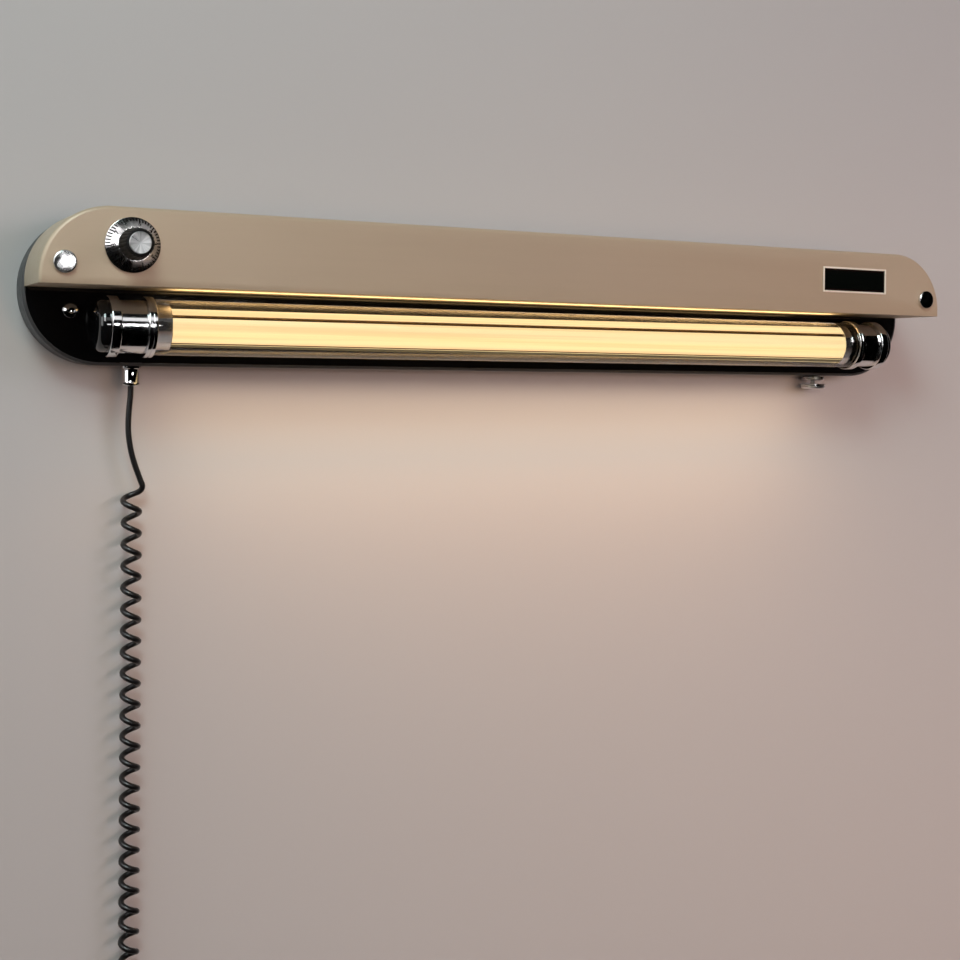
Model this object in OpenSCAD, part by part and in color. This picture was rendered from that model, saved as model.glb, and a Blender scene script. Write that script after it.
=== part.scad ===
// Long wall light with a rotary dimmer, a display window, a push switch and a curly cord.
// The origin is the centre of the back face. X runs along the light, Z is up,
// and the light stands out from the wall towards -Y.

/* [Base] */
// Length of the whole light
light_len = 800; // [500:5:1200]
// Height of the base and its round ends
light_h = 110; // [96:1:140]
// How far the base stands out from the wall
base_depth = 22; // [22:1:40]
// Wall of the base tray
base_wall = 2.2; // [1.5:0.1:4]
// Rounding of the front rim of the base tray
rim_round = 2; // [0.5:0.1:3]
// Thickness of the gloss front plate
plate_t = 2.4; // [1.5:0.1:4]
// Play around the front plate
plate_fit = 0.15; // [0.05:0.05:0.5]
// Distance of the wall holes from the middle
wall_hole_x = 250; // [120:5:280]
// Diameter of the wall holes
wall_hole_d = 5.5; // [3:0.5:8]
// Distance of the front screws from the middle of the end arcs
screw_out = 21; // [10:0.5:26]
// Distance of the front screws below the middle line
screw_drop = 16.2; // [12:0.1:20]
// Diameter of the dome screw heads
screw_head_d = 12; // [8:0.5:14]

/* [Hood] */
// How far the hood stands out from the base
hood_depth = 57; // [54:1:80]
// Step of the hood in from the ends of the base
hood_inset = 1.6; // [0.5:0.1:4]
// Step of the hood down from the top of the base
hood_lower = 0.6; // [0:0.1:2]
// Radius of the upper corners of the hood
hood_corner = 49; // [42:0.5:50]
// Sheet thickness of the hood
hood_wall = 1.5; // [0.8:0.1:2.5]
// Rounding of the front edge of the hood
hood_round = 3; // [2:0.5:6]
// Distance of the chrome caps from the middle of the end arcs
cap_out = 36.5; // [28:0.5:40]
// Height of the chrome caps above the middle line
cap_up = 14.6; // [12:0.1:18]
// Diameter of the chrome caps
cap_d = 16; // [12:0.5:18]
// How far the chrome caps stand out from the hood
cap_h = 3; // [2:0.5:8]

/* [Dimmer] */
// Distance of the dimmer inwards from the middle of the end arc
dimmer_in = 9; // [0:1:60]
// Height of the dimmer above the middle line
dimmer_up = 27.9; // [25:0.1:30]
// Diameter of the graduated dial
dial_d = 38.6; // [36:0.1:42]
// Thickness of the graduated dial's sheet
dial_t = 1.6; // [1.2:0.1:2]
// Height of the dial's cone above its rim
dial_rise = 8.2; // [6:0.1:10]
// Diameter of the knob at its foot
knob_d = 22.8; // [22:0.1:26]
// Height of the knob above the dial
knob_h = 13.3; // [12:0.1:20]
// Diameter of the bright disc in the knob
insert_d = 15.2; // [10:0.1:17]
// Number of flutes around the knob
flutes = 24; // [12:1:36]
// Diameter of the dimmer shaft
shaft_d = 6; // [4:0.5:6.4]
// Gap between the dial and the hood
dial_gap = 0.4; // [0.2:0.1:1]

/* [Display] */
// Distance of the display from the middle of the light
display_x = 300; // [60:1:300]
// Height of the display above the middle line
display_up = 28.8; // [24:0.1:32]
// Width of the display window
display_w = 67.5; // [40:0.5:80]
// Height of the display window
display_h = 19.2; // [14:0.1:26]
// Width of the bezel around the window
bezel_w = 1.5; // [1.2:0.1:4]

/* [Tube] */
// Outer diameter of the clear tube
tube_d = 40; // [30:0.5:44]
// Bore of the clear tube
tube_bore = 18; // [14:0.5:20]
// Distance of the tube axis from the front of the base
tube_stand = 27.5; // [24:0.5:32]
// Distance of the tube axis below the middle line
tube_drop = 27.4; // [24:0.1:34]
// Length of the tube that shows between the collars
tube_shown = 630; // [300:5:900]
// Width of the chrome collars over the tube ends
collar_w = 6; // [4:0.5:12]
// Length of the chrome holder bodies
holder_w = 19; // [14:0.5:30]
// Diameter of the chrome holder bodies
holder_d = 38; // [30:0.5:40]
// Width of the outer chrome flanges
flange_w = 7; // [4:0.5:12]
// Diameter of the chrome collars and flanges
flange_d = 43.5; // [43:0.5:46.5]
// Length of the black end domes
dome_w = 8; // [5:0.5:14]
// Diameter of the ferrules on the ends of the light core
ferrule_d = 25; // [20:0.5:30]
// Length of ferrule that shows inside the clear tube
ferrule_shown = 12; // [4:0.5:20]
// Spacing of the light sources along the core
led_pitch = 15; // [10:1:40]

/* [Switch] */
// Distance of the push switch from the middle of the light
switch_x = 310.5; // [150:0.5:312]
// Diameter of the fixed switch disc
switch_disc_d = 20.5; // [16:0.5:24]
// Diameter of the moving switch button
button_d = 21.6; // [16:0.5:24]
// Diameter of the switch stem
stem_d = 4; // [3:0.5:5]
// How far the button travels upwards
switch_travel = 2.5; // [1:0.1:3]

/* [Cord] */
// Distance of the cord gland from the middle of the light
gland_x = 320; // [280:1:330]
// Distance of the gland, cord and switch from the wall
cord_out = 11; // [10.5:0.5:12]
// Diameter of the gland cap
gland_d = 14; // [12:0.5:18]
// Height of the gland cap below its flange
gland_h = 12.5; // [9:0.5:20]
// Diameter of the cord
cord_d = 4.3; // [3.6:0.1:5]
// Radius of the curls at the middle of the cord
curl_r = 5.7; // [4.5:0.1:6.5]
// Number of curls
curls = 25; // [10:1:40]
// Spacing of the highest curls
pitch_top = 16.1; // [10:0.1:20]
// Spacing of the lowest curls
pitch_end = 14.6; // [10:0.1:20]
// Number of turns in the stored coil
coil_turns = 4; // [2:1:6]
// Radius of the stored coil at the middle of the cord
coil_r = 24; // [20:0.5:30]
// Spacing of the turns in the stored coil
coil_pitch = 5.3; // [4.9:0.1:7]

/* [Hidden] */
$fn = 96;

base_r = light_h / 2;
half = light_len / 2 - base_r;
pocket_r = base_r - base_wall;
plate_r = pocket_r - plate_fit;
plate_back = base_depth - plate_t;
back_t = 2;
big = 2 * light_len;
eps = 0.01;

hood_front = base_depth + hood_depth;
hood_in = hood_front - hood_wall;
hood_bend_x = light_len / 2 - hood_inset - hood_corner;
hood_bend_up = base_r - hood_lower - hood_corner;
cap_x = half + cap_out;
screw_x = half + screw_out;
boss_d = 10;
screw_d = 4;
screw_play = 0.1;

dimmer_x = -(half - dimmer_in);
skirt_back = hood_front + dial_gap;
dial_rim = 1.3;
knob_foot = skirt_back + dial_rim + dial_rise;
knob_top = knob_foot + knob_h;
running = 0.05;
bushing_d = 9;
bushing_h = 5;
pot_d = 17;
pot_h = 9;
pot_back = hood_in - pot_h;
nut_t = 2;
recess_d = 16;
spigot_h = 2;
board_t = 1.6;

pane_w = display_w + 1;
pane_h = display_h + 1;
pane_play = 0.2;
module_t = 7;

tube_out = base_depth + tube_stand;
tube_half = tube_shown / 2;
collar_end = tube_half + collar_w;
holder_end = collar_end + holder_w;
flange_end = holder_end + flange_w;
web_t = 1;
tube_end = collar_end - web_t;
tube_up = -tube_drop;
core_r = tube_bore / 2 - 0.3;
core_half = tube_half - ferrule_shown;
core_wall = 4;
rod_a_r = 1.8;
rod_b_r = 0.5;
rod_a_angle = 43;
rod_b_angle = -68;
rod_proud = 0.2;
holder_x = (collar_end + holder_end) / 2;
holder_bore = 16;
pin_d = 2.35;
pin_gap = 12.7;
foot_w = holder_w - 4;
foot_h = 26;
foot_wire_up = tube_up + 5;
wire_d = 1.6;
hood_wire_out = hood_in - 15.5;
grommet_x = 290;
grommet_up = 20;

driver_w = 150;
driver_h = 50;
driver_t = 17;

bottom = -base_r;
disc_gap = 1;
disc_t = 3.2;
disc_low = bottom - disc_gap - disc_t;
button_gap = switch_travel + 0.9;
button_top = disc_low - button_gap;
button_t = 4.5;
stem_top = bottom + 11;

gland_flange_t = 2;
gland_top = bottom - gland_flange_t;
gland_low = gland_top - gland_h;
seal_low = gland_low + 0.7;
seal_top = gland_low + 6;

// Free route of the cord from the gland to the first curl, as x, y and z
lead_route = [
    [-320, -13, -63.5], [-320, -13, -70], [-320.2, -13, -78], [-321, -13, -87],
    [-321.4, -13, -96], [-321.2, -13, -104], [-320.2, -13, -112], [-318.5, -13, -120],
    [-316.1, -13, -128], [-313.5, -13, -135]
];
lead_last = lead_route[len(lead_route) - 1];
lead_from = [gland_x - 320, cord_out - 13, bottom + 55];
function lead_at(p) = [p[0] - lead_from[0], p[1] - lead_from[1], p[2] + lead_from[2]];
curl_x = lead_at(lead_last)[0] - 4.9;
curl_y = lead_at(lead_last)[1];
curl_start = lead_at(lead_last)[2] - 11.5;
curl_lean = 2;
first_flare = 1.4;
curl_steps = 8;
coil_steps = 24;
cord_r = cord_d / 2;

// Lays the drawing plane on the wall: x along, y up, z out of the wall
module on_wall() {
    rotate([90, 0, 0]) children();
}

// Places the same piece at both ends of the light
module both_ends() {
    children();
    mirror([1, 0, 0]) children();
}

// A long form with round ends whose edge profile is drawn as radius and depth
module long_form(reach) {
    for (s = [-1, 1])
        translate([s * reach, 0, 0]) rotate_extrude() children();
    translate([-reach, 0, 0]) rotate([90, 0, 90]) linear_extrude(2 * reach) {
        children();
        mirror([1, 0]) children();
    }
}

// Half section of a plate of radius r from depth a to depth b with a rounded front edge
module edge_profile(r, a, b, round) {
    translate([0, a]) square([r, b - a - round]);
    translate([0, a]) square([r - round, b - a]);
    translate([r - round, b - round]) circle(round);
}

// The hood's outline stepped in by a wall, from depth a to depth b, with a rounded front edge
module hood_form(wall, a, b, round) {
    r = hood_corner - wall;
    translate([0, hood_bend_up, 0]) {
        long_form(hood_bend_x) edge_profile(r, a, b, round);
        rotate([90, 0, 0]) linear_extrude(hood_bend_up) {
            edge_profile(hood_bend_x + r, a, b, round);
            mirror([1, 0]) edge_profile(hood_bend_x + r, a, b, round);
        }
    }
}

module long_plate(r, a, b, reach = half) {
    long_form(reach) translate([0, a]) square([r, b - a]);
}

// A round bar along X, centred on the tube axis
module tube_bar(r, x0, x1) {
    translate([x0, tube_up, tube_out]) rotate([0, 90, 0]) cylinder(r = r, h = x1 - x0);
}

// A post out of the wall from depth a to depth b
module post(x, up, d, a, b) {
    translate([x, up, a]) cylinder(d = d, h = b - a);
}

module block(x0, x1, up0, up1, a, b) {
    translate([x0, up0, a]) cube([x1 - x0, up1 - up0, b - a]);
}

module hex(across, h) {
    cylinder(d = across / cos(30), h = h, $fn = 6);
}

// A wire that leaves depth a towards the wall, turns and runs along X at depth b
module bent_wire(x, up, a, b, x_end) {
    bend = 4;
    dir = x_end > x ? 1 : -1;
    post(x, up, wire_d, b + bend, a);
    translate([x, up, b]) mirror([dir > 0 ? 0 : 1, 0, 0]) {
        translate([bend, 0, bend]) rotate([90, 0, 0]) rotate([0, 0, 180])
            rotate_extrude(angle = 90) translate([bend, 0]) circle(d = wire_d);
        translate([bend, 0, 0]) rotate([0, 90, 0])
            cylinder(d = wire_d, h = abs(x_end - x) - bend);
    }
}

module base_tray() {
    color("#3a3b3d") on_wall() difference() {
        union() {
            difference() {
                long_form(half) edge_profile(base_r, 0, base_depth, rim_round);
                long_plate(pocket_r, back_t, base_depth + 1);
            }
            both_ends() {
                post(screw_x, -screw_drop, boss_d, back_t - eps, plate_back);
                post(cap_x, cap_up, boss_d, back_t - eps, plate_back);
            }
            for (up = [-1, 1])
                post(0, up * (pocket_r - boss_d / 2 - 2), boss_d, back_t - eps, plate_back);
        }
        both_ends() {
            post(screw_x, -screw_drop, screw_d + screw_play, 8, base_depth);
            post(cap_x, cap_up, screw_d + screw_play, 8, base_depth);
            post(wall_hole_x, 0, wall_hole_d, -1, back_t + 1);
        }
        wall_bore(-gland_x, 10.4);
        wall_bore(switch_x, 8.4);
    }
}

// A bore up through the lower wall of the tray
module wall_bore(x, d) {
    translate([x, bottom - 1, cord_out]) rotate([-90, 0, 0]) cylinder(d = d, h = base_wall + 2);
}

module face_plate() {
    color("#0b0b0d") on_wall() difference() {
        long_plate(plate_r, plate_back, base_depth);
        both_ends() {
            post(screw_x, -screw_drop, screw_d + 0.4, 0, base_depth + 1);
            post(cap_x, cap_up, screw_d + 0.4, 0, base_depth + 1);
            post(grommet_x, grommet_up, 10, 0, base_depth + 1);
            post(holder_x, foot_wire_up, 5, 0, base_depth + 1);
            for (s = [-1, 1])
                post(holder_x + s * 4.5, tube_up - 9, 3.2, 0, base_depth + 1);
        }
    }
}

module face_screws() {
    head_h = 3.6;
    dome_r = (pow(screw_head_d / 2, 2) + head_h * head_h) / (2 * head_h);
    color("#d9dadc") on_wall() both_ends() translate([screw_x, -screw_drop, 0]) difference() {
        union() {
            translate([0, 0, base_depth]) intersection() {
                translate([0, 0, head_h - dome_r]) sphere(dome_r);
                cylinder(d = screw_head_d, h = head_h + 1);
            }
            translate([0, 0, 10]) cylinder(d = screw_d, h = base_depth - 10 + eps);
        }
        translate([0, 0, base_depth + head_h - 1.8]) hex(4, 3);
    }
}

module driver_box() {
    color("#d8d8d4") on_wall() {
        block(-driver_w / 2, driver_w / 2, -driver_h / 2, driver_h / 2, back_t, back_t + driver_t);
        for (s = [-1, 1])
            block(s * (driver_w / 2 + 6) - 6, s * (driver_w / 2 + 6) + 6, -12, 12, back_t, back_t + 2);
    }
}

module terminal_block() {
    color("#e9e6dc") on_wall() difference() {
        block(-gland_x + 16, -gland_x + 46, bottom + 8, bottom + 24, back_t, back_t + 14);
        for (i = [0:2])
            post(-gland_x + 21 + 10 * i, bottom + 16, 4, back_t + 8, back_t + 15);
    }
}

module inlet_cable() {
    rise = 8;
    turn = 8;
    x0 = -gland_x;
    color("#101012") on_wall() {
        translate([x0, seal_top, cord_out]) rotate([-90, 0, 0])
            cylinder(d = cord_d, h = bottom + rise - seal_top);
        translate([x0 + turn, bottom + rise, cord_out]) rotate([0, 0, 90])
            rotate_extrude(angle = 90) translate([turn, 0]) circle(d = cord_d);
        translate([x0 + turn, bottom + rise + turn, cord_out]) rotate([0, 90, 0])
            cylinder(d = cord_d, h = 16 - turn);
    }
}

module plate_grommets() {
    color("#161616") on_wall() both_ends() translate([grommet_x, grommet_up, 0]) difference() {
        union() {
            translate([0, 0, plate_back]) cylinder(d = 9.8, h = plate_t);
            translate([0, 0, base_depth]) cylinder(d = 13, h = 1.5);
        }
        translate([0, 0, plate_back - 1]) cylinder(d = 7, h = plate_t + 4);
    }
}

module hood() {
    color("#b59b7e") on_wall() difference() {
        hood_form(0, base_depth, hood_front, hood_round);
        hood_form(hood_wall, base_depth - 1, hood_in, hood_round - hood_wall);
        block(-big, big, -big, 0, 0, big);
        both_ends() post(cap_x, cap_up, screw_d + 0.5, 0, big);
        post(dimmer_x, dimmer_up, bushing_d + 0.4, 0, big);
        translate([display_x, display_up, hood_in])
            cube([pane_w + 2 * pane_play, pane_h + 2 * pane_play, 4 * hood_wall], center = true);
    }
}

module hood_underside() {
    side_play = 0.2;
    lip_h = 7;
    color("#b59b7e") on_wall() intersection() {
        hood_form(hood_wall + side_play, base_depth + 0.3, hood_in, hood_round - hood_wall);
        union() {
            block(-big, big, 0, hood_wall, 0, hood_in);
            block(-big, big, 0, lip_h, hood_in - hood_wall, hood_in);
        }
    }
}

module hood_posts() {
    color("#c9c9cc") on_wall() both_ends() translate([cap_x, cap_up, 0]) difference() {
        union() {
            translate([0, 0, base_depth]) cylinder(d = 9, h = hood_in - base_depth);
            translate([0, 0, 12]) cylinder(d = screw_d, h = base_depth - 12 + eps);
        }
        translate([0, 0, hood_in - 12]) cylinder(d = screw_d + screw_play, h = 13);
    }
}

module hood_caps() {
    edge = 1.2;
    color("#d9dadc") on_wall() both_ends() translate([cap_x, cap_up, 0]) {
        translate([0, 0, hood_front]) rotate_extrude() {
            square([cap_d / 2, cap_h - edge]);
            square([cap_d / 2 - edge, cap_h]);
            translate([cap_d / 2 - edge, cap_h - edge]) circle(edge);
        }
        translate([0, 0, hood_in - 10]) cylinder(d = screw_d, h = hood_wall + 10 + eps);
    }
}

module at_dimmer() {
    on_wall() translate([dimmer_x, dimmer_up, 0]) children();
}

module dimmer_pot() {
    color("#7d8083") at_dimmer() difference() {
        union() {
            translate([0, 0, pot_back]) cylinder(d = pot_d, h = pot_h);
            translate([0, 0, pot_back]) cylinder(d = bushing_d, h = hood_front + bushing_h - pot_back);
            translate([-5, -12, pot_back]) cube([10, 12, 3]);
        }
        translate([0, 0, pot_back + 3]) cylinder(d = shaft_d + 2 * running, h = big);
    }
}

module dimmer_nut() {
    color("#c9c9cc") at_dimmer() difference() {
        translate([0, 0, hood_front]) hex(12, nut_t);
        translate([0, 0, hood_front - 1]) cylinder(d = bushing_d + 0.1, h = nut_t + 2);
    }
}

module dimmer_board() {
    board_back = pot_back - board_t;
    color("#1f5c3a") at_dimmer() {
        translate([-15, -16, board_back]) cube([38, 32, board_t]);
        translate([12, 6, board_back - 11]) cylinder(d = 8, h = 11);
        translate([12, -10, board_back - 9]) cube([8, 14, 9]);
        translate([-6, -5, board_back - 5]) cube([10, 10, 5]);
    }
}

// A hollow cone of sheet whose narrow end carries the knob
module dial_skirt() {
    bevel = 0.4;
    ledge = 0.4;
    rim_r = dial_d / 2;
    top_r = knob_d / 2 + ledge;
    top = dial_rim + dial_rise;
    color("#c4c6c8") at_dimmer() translate([0, 0, skirt_back]) rotate_extrude()
        polygon([[recess_d / 2, top], [top_r, top], [rim_r - bevel, dial_rim],
                 [rim_r, dial_rim - bevel], [rim_r, 0], [rim_r - dial_t, 0],
                 [top_r - 0.6 * dial_t, top - dial_t], [recess_d / 2, top - dial_t]]);
}

module knob_body() {
    taper = 1.5;
    edge = 0.6;
    flute_r = 0.55;
    foot_ring = 1.2;
    spigot_d = recess_d - 0.2;
    seat_d = insert_d + 0.2;
    top_r = knob_d / 2 - taper;
    lean = atan(taper / (knob_h - foot_ring - edge));
    color("#0c0c0e") at_dimmer() difference() {
        translate([0, 0, knob_foot]) rotate_extrude()
            polygon([[0, -spigot_h], [spigot_d / 2, -spigot_h], [spigot_d / 2, 0], [knob_d / 2, 0],
                     [knob_d / 2, foot_ring], [top_r, knob_h - edge], [top_r - edge, knob_h],
                     [0, knob_h]]);
        translate([0, 0, knob_foot - spigot_h - 1])
            cylinder(d = shaft_d + 2 * running, h = spigot_h + 1 + knob_h - 2.1);
        translate([0, 0, knob_top - 0.8]) cylinder(d = seat_d, h = 2);
        for (i = [0:flutes - 1])
            rotate(i * 360 / flutes) translate([knob_d / 2 + 0.05, 0, knob_foot + foot_ring + 0.4])
                rotate([0, -lean, 0]) cylinder(r = flute_r, h = knob_h);
        at_knob_screw() cylinder(d = 3.1, h = knob_d);
    }
}

// The grub screw lies square to the shaft, between two flutes
module at_knob_screw() {
    rotate(135) translate([shaft_d / 2 + 0.1, 0, knob_foot + 5]) rotate([0, 90, 0]) children();
}

module knob_screw() {
    color("#8d8f92") at_dimmer() at_knob_screw() difference() {
        cylinder(d = 3, h = 6.5);
        translate([0, 0, 5]) hex(1.5, 3);
    }
}

module knob_insert() {
    disc_t = 1.3;
    dish = 0.3;
    color("#e4e5e6") at_dimmer() translate([0, 0, knob_top - 0.8]) rotate_extrude()
        polygon([[0, 0], [insert_d / 2, 0], [insert_d / 2, disc_t - dish],
                 [insert_d / 2 - dish, disc_t], [0, disc_t]]);
}

module dimmer_shaft() {
    color("#b8babd") at_dimmer() translate([0, 0, pot_back + 3.4])
        cylinder(d = shaft_d, h = knob_foot + knob_h - 2.6 - pot_back - 3.4);
}

module display_bezel() {
    color("#d6cdbf") on_wall() translate([display_x, display_up, hood_front]) difference() {
        linear_extrude(0.8)
            square([display_w + 2 * bezel_w, display_h + 2 * bezel_w], center = true);
        translate([0, 0, -1]) linear_extrude(3) square([display_w, display_h], center = true);
    }
}

module display_window() {
    color("#050506") on_wall() translate([display_x, display_up, hood_in])
        linear_extrude(hood_wall) square([pane_w, pane_h], center = true);
}

module display_module() {
    color("#1f5c3a") on_wall() translate([display_x, display_up, 0]) {
        translate([-(pane_w + 5) / 2, -(pane_h + 4) / 2, hood_in - module_t])
            cube([pane_w + 5, pane_h + 4, module_t]);
        translate([-(pane_w + 11) / 2, -15, hood_in - module_t - board_t])
            cube([pane_w + 11, 30, board_t]);
    }
}

module hood_wires() {
    color("#a02c24") on_wall() {
        for (i = [-1, 1], s = [-1, 1])
            bent_wire(s * grommet_x, grommet_up + i * wire_d, hood_wire_out, 15, s * driver_w / 2);
        for (i = [-1, 1])
            translate([0, grommet_up + i * wire_d, hood_wire_out]) rotate([0, 90, 0])
                translate([0, 0, dimmer_x + 20])
                    cylinder(d = wire_d, h = -grommet_x - dimmer_x - 20 + wire_d / 2);
        for (i = [-1, 1])
            post(grommet_x, grommet_up + i * wire_d, wire_d, hood_wire_out - 0.5,
                 hood_in - module_t - board_t);
    }
}

module clear_tube() {
    seat_r = ferrule_d / 2 + 0.1;
    color([0.95, 0.96, 0.94, 0.35]) on_wall() difference() {
        tube_bar(tube_d / 2, -tube_end, tube_end);
        tube_bar(tube_bore / 2, -tube_end - 1, tube_end + 1);
        both_ends() tube_bar(seat_r, core_half, tube_end + 1);
    }
}

// Moves to a line beside the tube axis, at an angle up from straight out
module beside_core(angle, r) {
    translate([0, r * sin(angle), r * cos(angle)]) children();
}

module diffuser() {
    color("#ffe9b0") on_wall() difference() {
        tube_bar(core_r, -core_half, core_half);
        tube_bar(core_r - core_wall, -core_half - 1, core_half + 1);
        beside_core(rod_a_angle, core_r - rod_a_r + rod_proud)
            tube_bar(rod_a_r + running, -core_half - 1, core_half + 1);
        beside_core(rod_b_angle, core_r - rod_b_r + rod_proud)
            tube_bar(rod_b_r + running, -core_half - 1, core_half + 1);
    }
}

module core_rods() {
    color("#6d5836") on_wall() {
        beside_core(rod_a_angle, core_r - rod_a_r + rod_proud) tube_bar(rod_a_r, -core_half, core_half);
        beside_core(rod_b_angle, core_r - rod_b_r + rod_proud) tube_bar(rod_b_r, -core_half, core_half);
    }
}

module led_board() {
    strip_w = 2 * (core_r - core_wall) - 3;
    seat = sqrt(pow(core_r - core_wall, 2) - pow(strip_w / 2, 2)) - 0.05;
    count = floor(core_half / led_pitch);
    color("#f0efe8") on_wall() translate([0, tube_up, tube_out - seat]) {
        translate([-core_half, -strip_w / 2, 0]) cube([2 * core_half, strip_w, 1.2]);
        for (i = [-count:count])
            translate([i * led_pitch - 1.75, -1.4, 1.2 - eps]) cube([3.5, 2.8, 0.8]);
    }
}

module ferrules() {
    color("#cfd1d3") on_wall() both_ends() tube_bar(ferrule_d / 2, core_half, tube_end);
}

module tube_pins() {
    color("#b9974c") on_wall() both_ends() for (s = [-1, 1])
        translate([0, s * pin_gap / 2, 0]) tube_bar(pin_d / 2, tube_end, tube_end + 8);
}

module tube_collars() {
    lip = 0.6;
    groove_w = 0.8;
    groove_x = (tube_half + collar_end - groove_w) / 2;
    color("#d9dadc") on_wall() both_ends() difference() {
        union() {
            tube_bar(flange_d / 2, tube_half, groove_x);
            tube_bar(flange_d / 2, groove_x + groove_w, collar_end - lip);
            tube_bar(flange_d / 2 - lip, tube_half, collar_end);
        }
        tube_bar(tube_d / 2 + running, tube_half - 1, tube_end);
        tube_bar(holder_bore / 2, tube_half - 1, collar_end + 1);
    }
}

module holder_bodies() {
    color("#cfd1d3") on_wall() both_ends() difference() {
        tube_bar(holder_d / 2, collar_end, holder_end);
        tube_bar(holder_bore / 2, collar_end - 1, holder_end + 1);
        translate([holder_x, foot_wire_up, 0]) cylinder(d = 5, h = tube_out - 4);
    }
}

module outer_flanges() {
    edge = 0.8;
    color("#d9dadc") on_wall() both_ends() {
        tube_bar(flange_d / 2, holder_end + edge, flange_end - edge);
        tube_bar(flange_d / 2 - edge, holder_end, flange_end);
        for (x = [holder_end + edge, flange_end - edge])
            translate([x, tube_up, tube_out]) rotate([0, 90, 0])
                rotate_extrude() translate([flange_d / 2 - edge, 0]) circle(edge);
    }
}

module end_domes() {
    r = holder_d / 2 - 0.5;
    soft = dome_w - 3;
    color("#08080a") on_wall() both_ends() translate([flange_end, tube_up, tube_out])
        rotate([0, 90, 0]) rotate_extrude() {
            square([r, dome_w - soft]);
            square([r - soft, dome_w]);
            intersection() {
                translate([r - soft, dome_w - soft]) circle(soft);
                square([r, dome_w]);
            }
        }
}

module socket_inserts() {
    color("#efece2") on_wall() both_ends() difference() {
        tube_bar(holder_bore / 2 - 0.1, collar_end, holder_end - 1);
        for (s = [-1, 1])
            translate([0, s * pin_gap / 2, 0])
                tube_bar(pin_d / 2 + running, collar_end - 1, tube_end + 9);
    }
}

module holder_feet() {
    saddle_r = holder_d / 2 + running;
    color("#0b0b0d") on_wall() both_ends() difference() {
        block(holder_x - foot_w / 2, holder_x + foot_w / 2, tube_up - foot_h / 2,
              tube_up + foot_h / 2, base_depth, tube_out - 6);
        tube_bar(saddle_r, collar_end - 1, holder_end + 1);
        post(holder_x, foot_wire_up, 5, 0, big);
        for (s = [-1, 1])
            post(holder_x + s * 4.5, tube_up - 9, 3.1, 0, base_depth + 5);
    }
}

module foot_screws() {
    color("#9a9da0") on_wall() both_ends() for (s = [-1, 1]) {
        post(holder_x + s * 4.5, tube_up - 9, 3, plate_back, base_depth + 4.5);
        post(holder_x + s * 4.5, tube_up - 9, 5.5, plate_back - 2, plate_back);
    }
}

module tube_wires() {
    color("#3b66a8") on_wall() both_ends() for (s = [-1, 1])
        bent_wire(holder_x - 1.2 * s, foot_wire_up + 1.1 * s, tube_out - 7.6, 13 + s, driver_w / 2);
}

module at_switch() {
    translate([switch_x, -cord_out, 0]) children();
}

module switch_disc() {
    edge = 0.5;
    color("#d9dadc") at_switch() difference() {
        union() {
            translate([0, 0, disc_low]) rotate_extrude()
                polygon([[0, 0], [switch_disc_d / 2 - edge, 0], [switch_disc_d / 2, edge],
                         [switch_disc_d / 2, disc_t - edge], [switch_disc_d / 2 - edge, disc_t],
                         [0, disc_t]]);
            translate([0, 0, disc_low]) cylinder(d = 11, h = disc_t + disc_gap);
            translate([0, 0, disc_low]) cylinder(d = 8, h = bottom + 9 - disc_low);
        }
        translate([0, 0, disc_low - 1]) cylinder(d = stem_d + 2 * running, h = 30);
    }
}

module switch_nut() {
    color("#c9c9cc") at_switch() difference() {
        translate([0, 0, bottom + base_wall]) hex(12, 2.5);
        translate([0, 0, bottom]) cylinder(d = 8.1, h = 10);
    }
}

module switch_body() {
    color("#1b1b1d") at_switch() difference() {
        translate([-7, -7, bottom + 9]) cube([14, 14, 12]);
        translate([0, 0, bottom + 8])
            cylinder(d = stem_d + 2 * running, h = stem_top - bottom - 8 + switch_travel + 0.5);
    }
}

module switch_button() {
    edge = 0.6;
    r = button_d / 2;
    color("#d9dadc") at_switch() {
        translate([0, 0, button_top - button_t]) rotate_extrude()
            polygon([[0, 0], [r - 2, 0], [r - edge, 0.5], [r, 0.5 + edge], [r, button_t - edge],
                     [r - edge, button_t], [0, button_t]]);
        translate([0, 0, button_top - eps]) cylinder(d = stem_d, h = stem_top - button_top);
    }
}

module at_gland() {
    translate([-gland_x, -cord_out, 0]) children();
}

module gland_locknut() {
    color("#c9c9cc") at_gland() difference() {
        translate([0, 0, bottom + base_wall]) hex(14, 2.5);
        translate([0, 0, bottom]) cylinder(d = 10.1, h = 10);
    }
}

module gland_body() {
    color("#d9dadc") at_gland() difference() {
        union() {
            translate([0, 0, bottom - gland_flange_t]) cylinder(d = gland_d + 1, h = gland_flange_t);
            translate([0, 0, gland_top - 4.5]) cylinder(d = 10, h = 4.5 + eps);
            translate([0, 0, bottom - eps]) cylinder(d = 10, h = base_wall + 4);
        }
        translate([0, 0, gland_low]) cylinder(d = cord_d + 0.8, h = 40);
    }
}

module gland_cap() {
    flare = 0.7;
    r = gland_d / 2;
    color("#d9dadc") at_gland() difference() {
        translate([0, 0, gland_low]) rotate_extrude()
            polygon([[0, 0], [r - flare, 0], [r, flare], [r, 2 * flare], [r - flare, 4 * flare],
                     [r - flare, gland_h], [0, gland_h]]);
        translate([0, 0, gland_low - 1]) cylinder(d = 8.6, h = gland_h);
        translate([0, 0, seal_top]) cylinder(d = 10.1, h = gland_h);
    }
}

module gland_seal() {
    color("#141414") at_gland() difference() {
        translate([0, 0, seal_low]) cylinder(d = 8.4, h = seal_top - seal_low);
        translate([0, 0, seal_low - 1]) cylinder(d = cord_d + 0.2, h = 10);
    }
}

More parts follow.
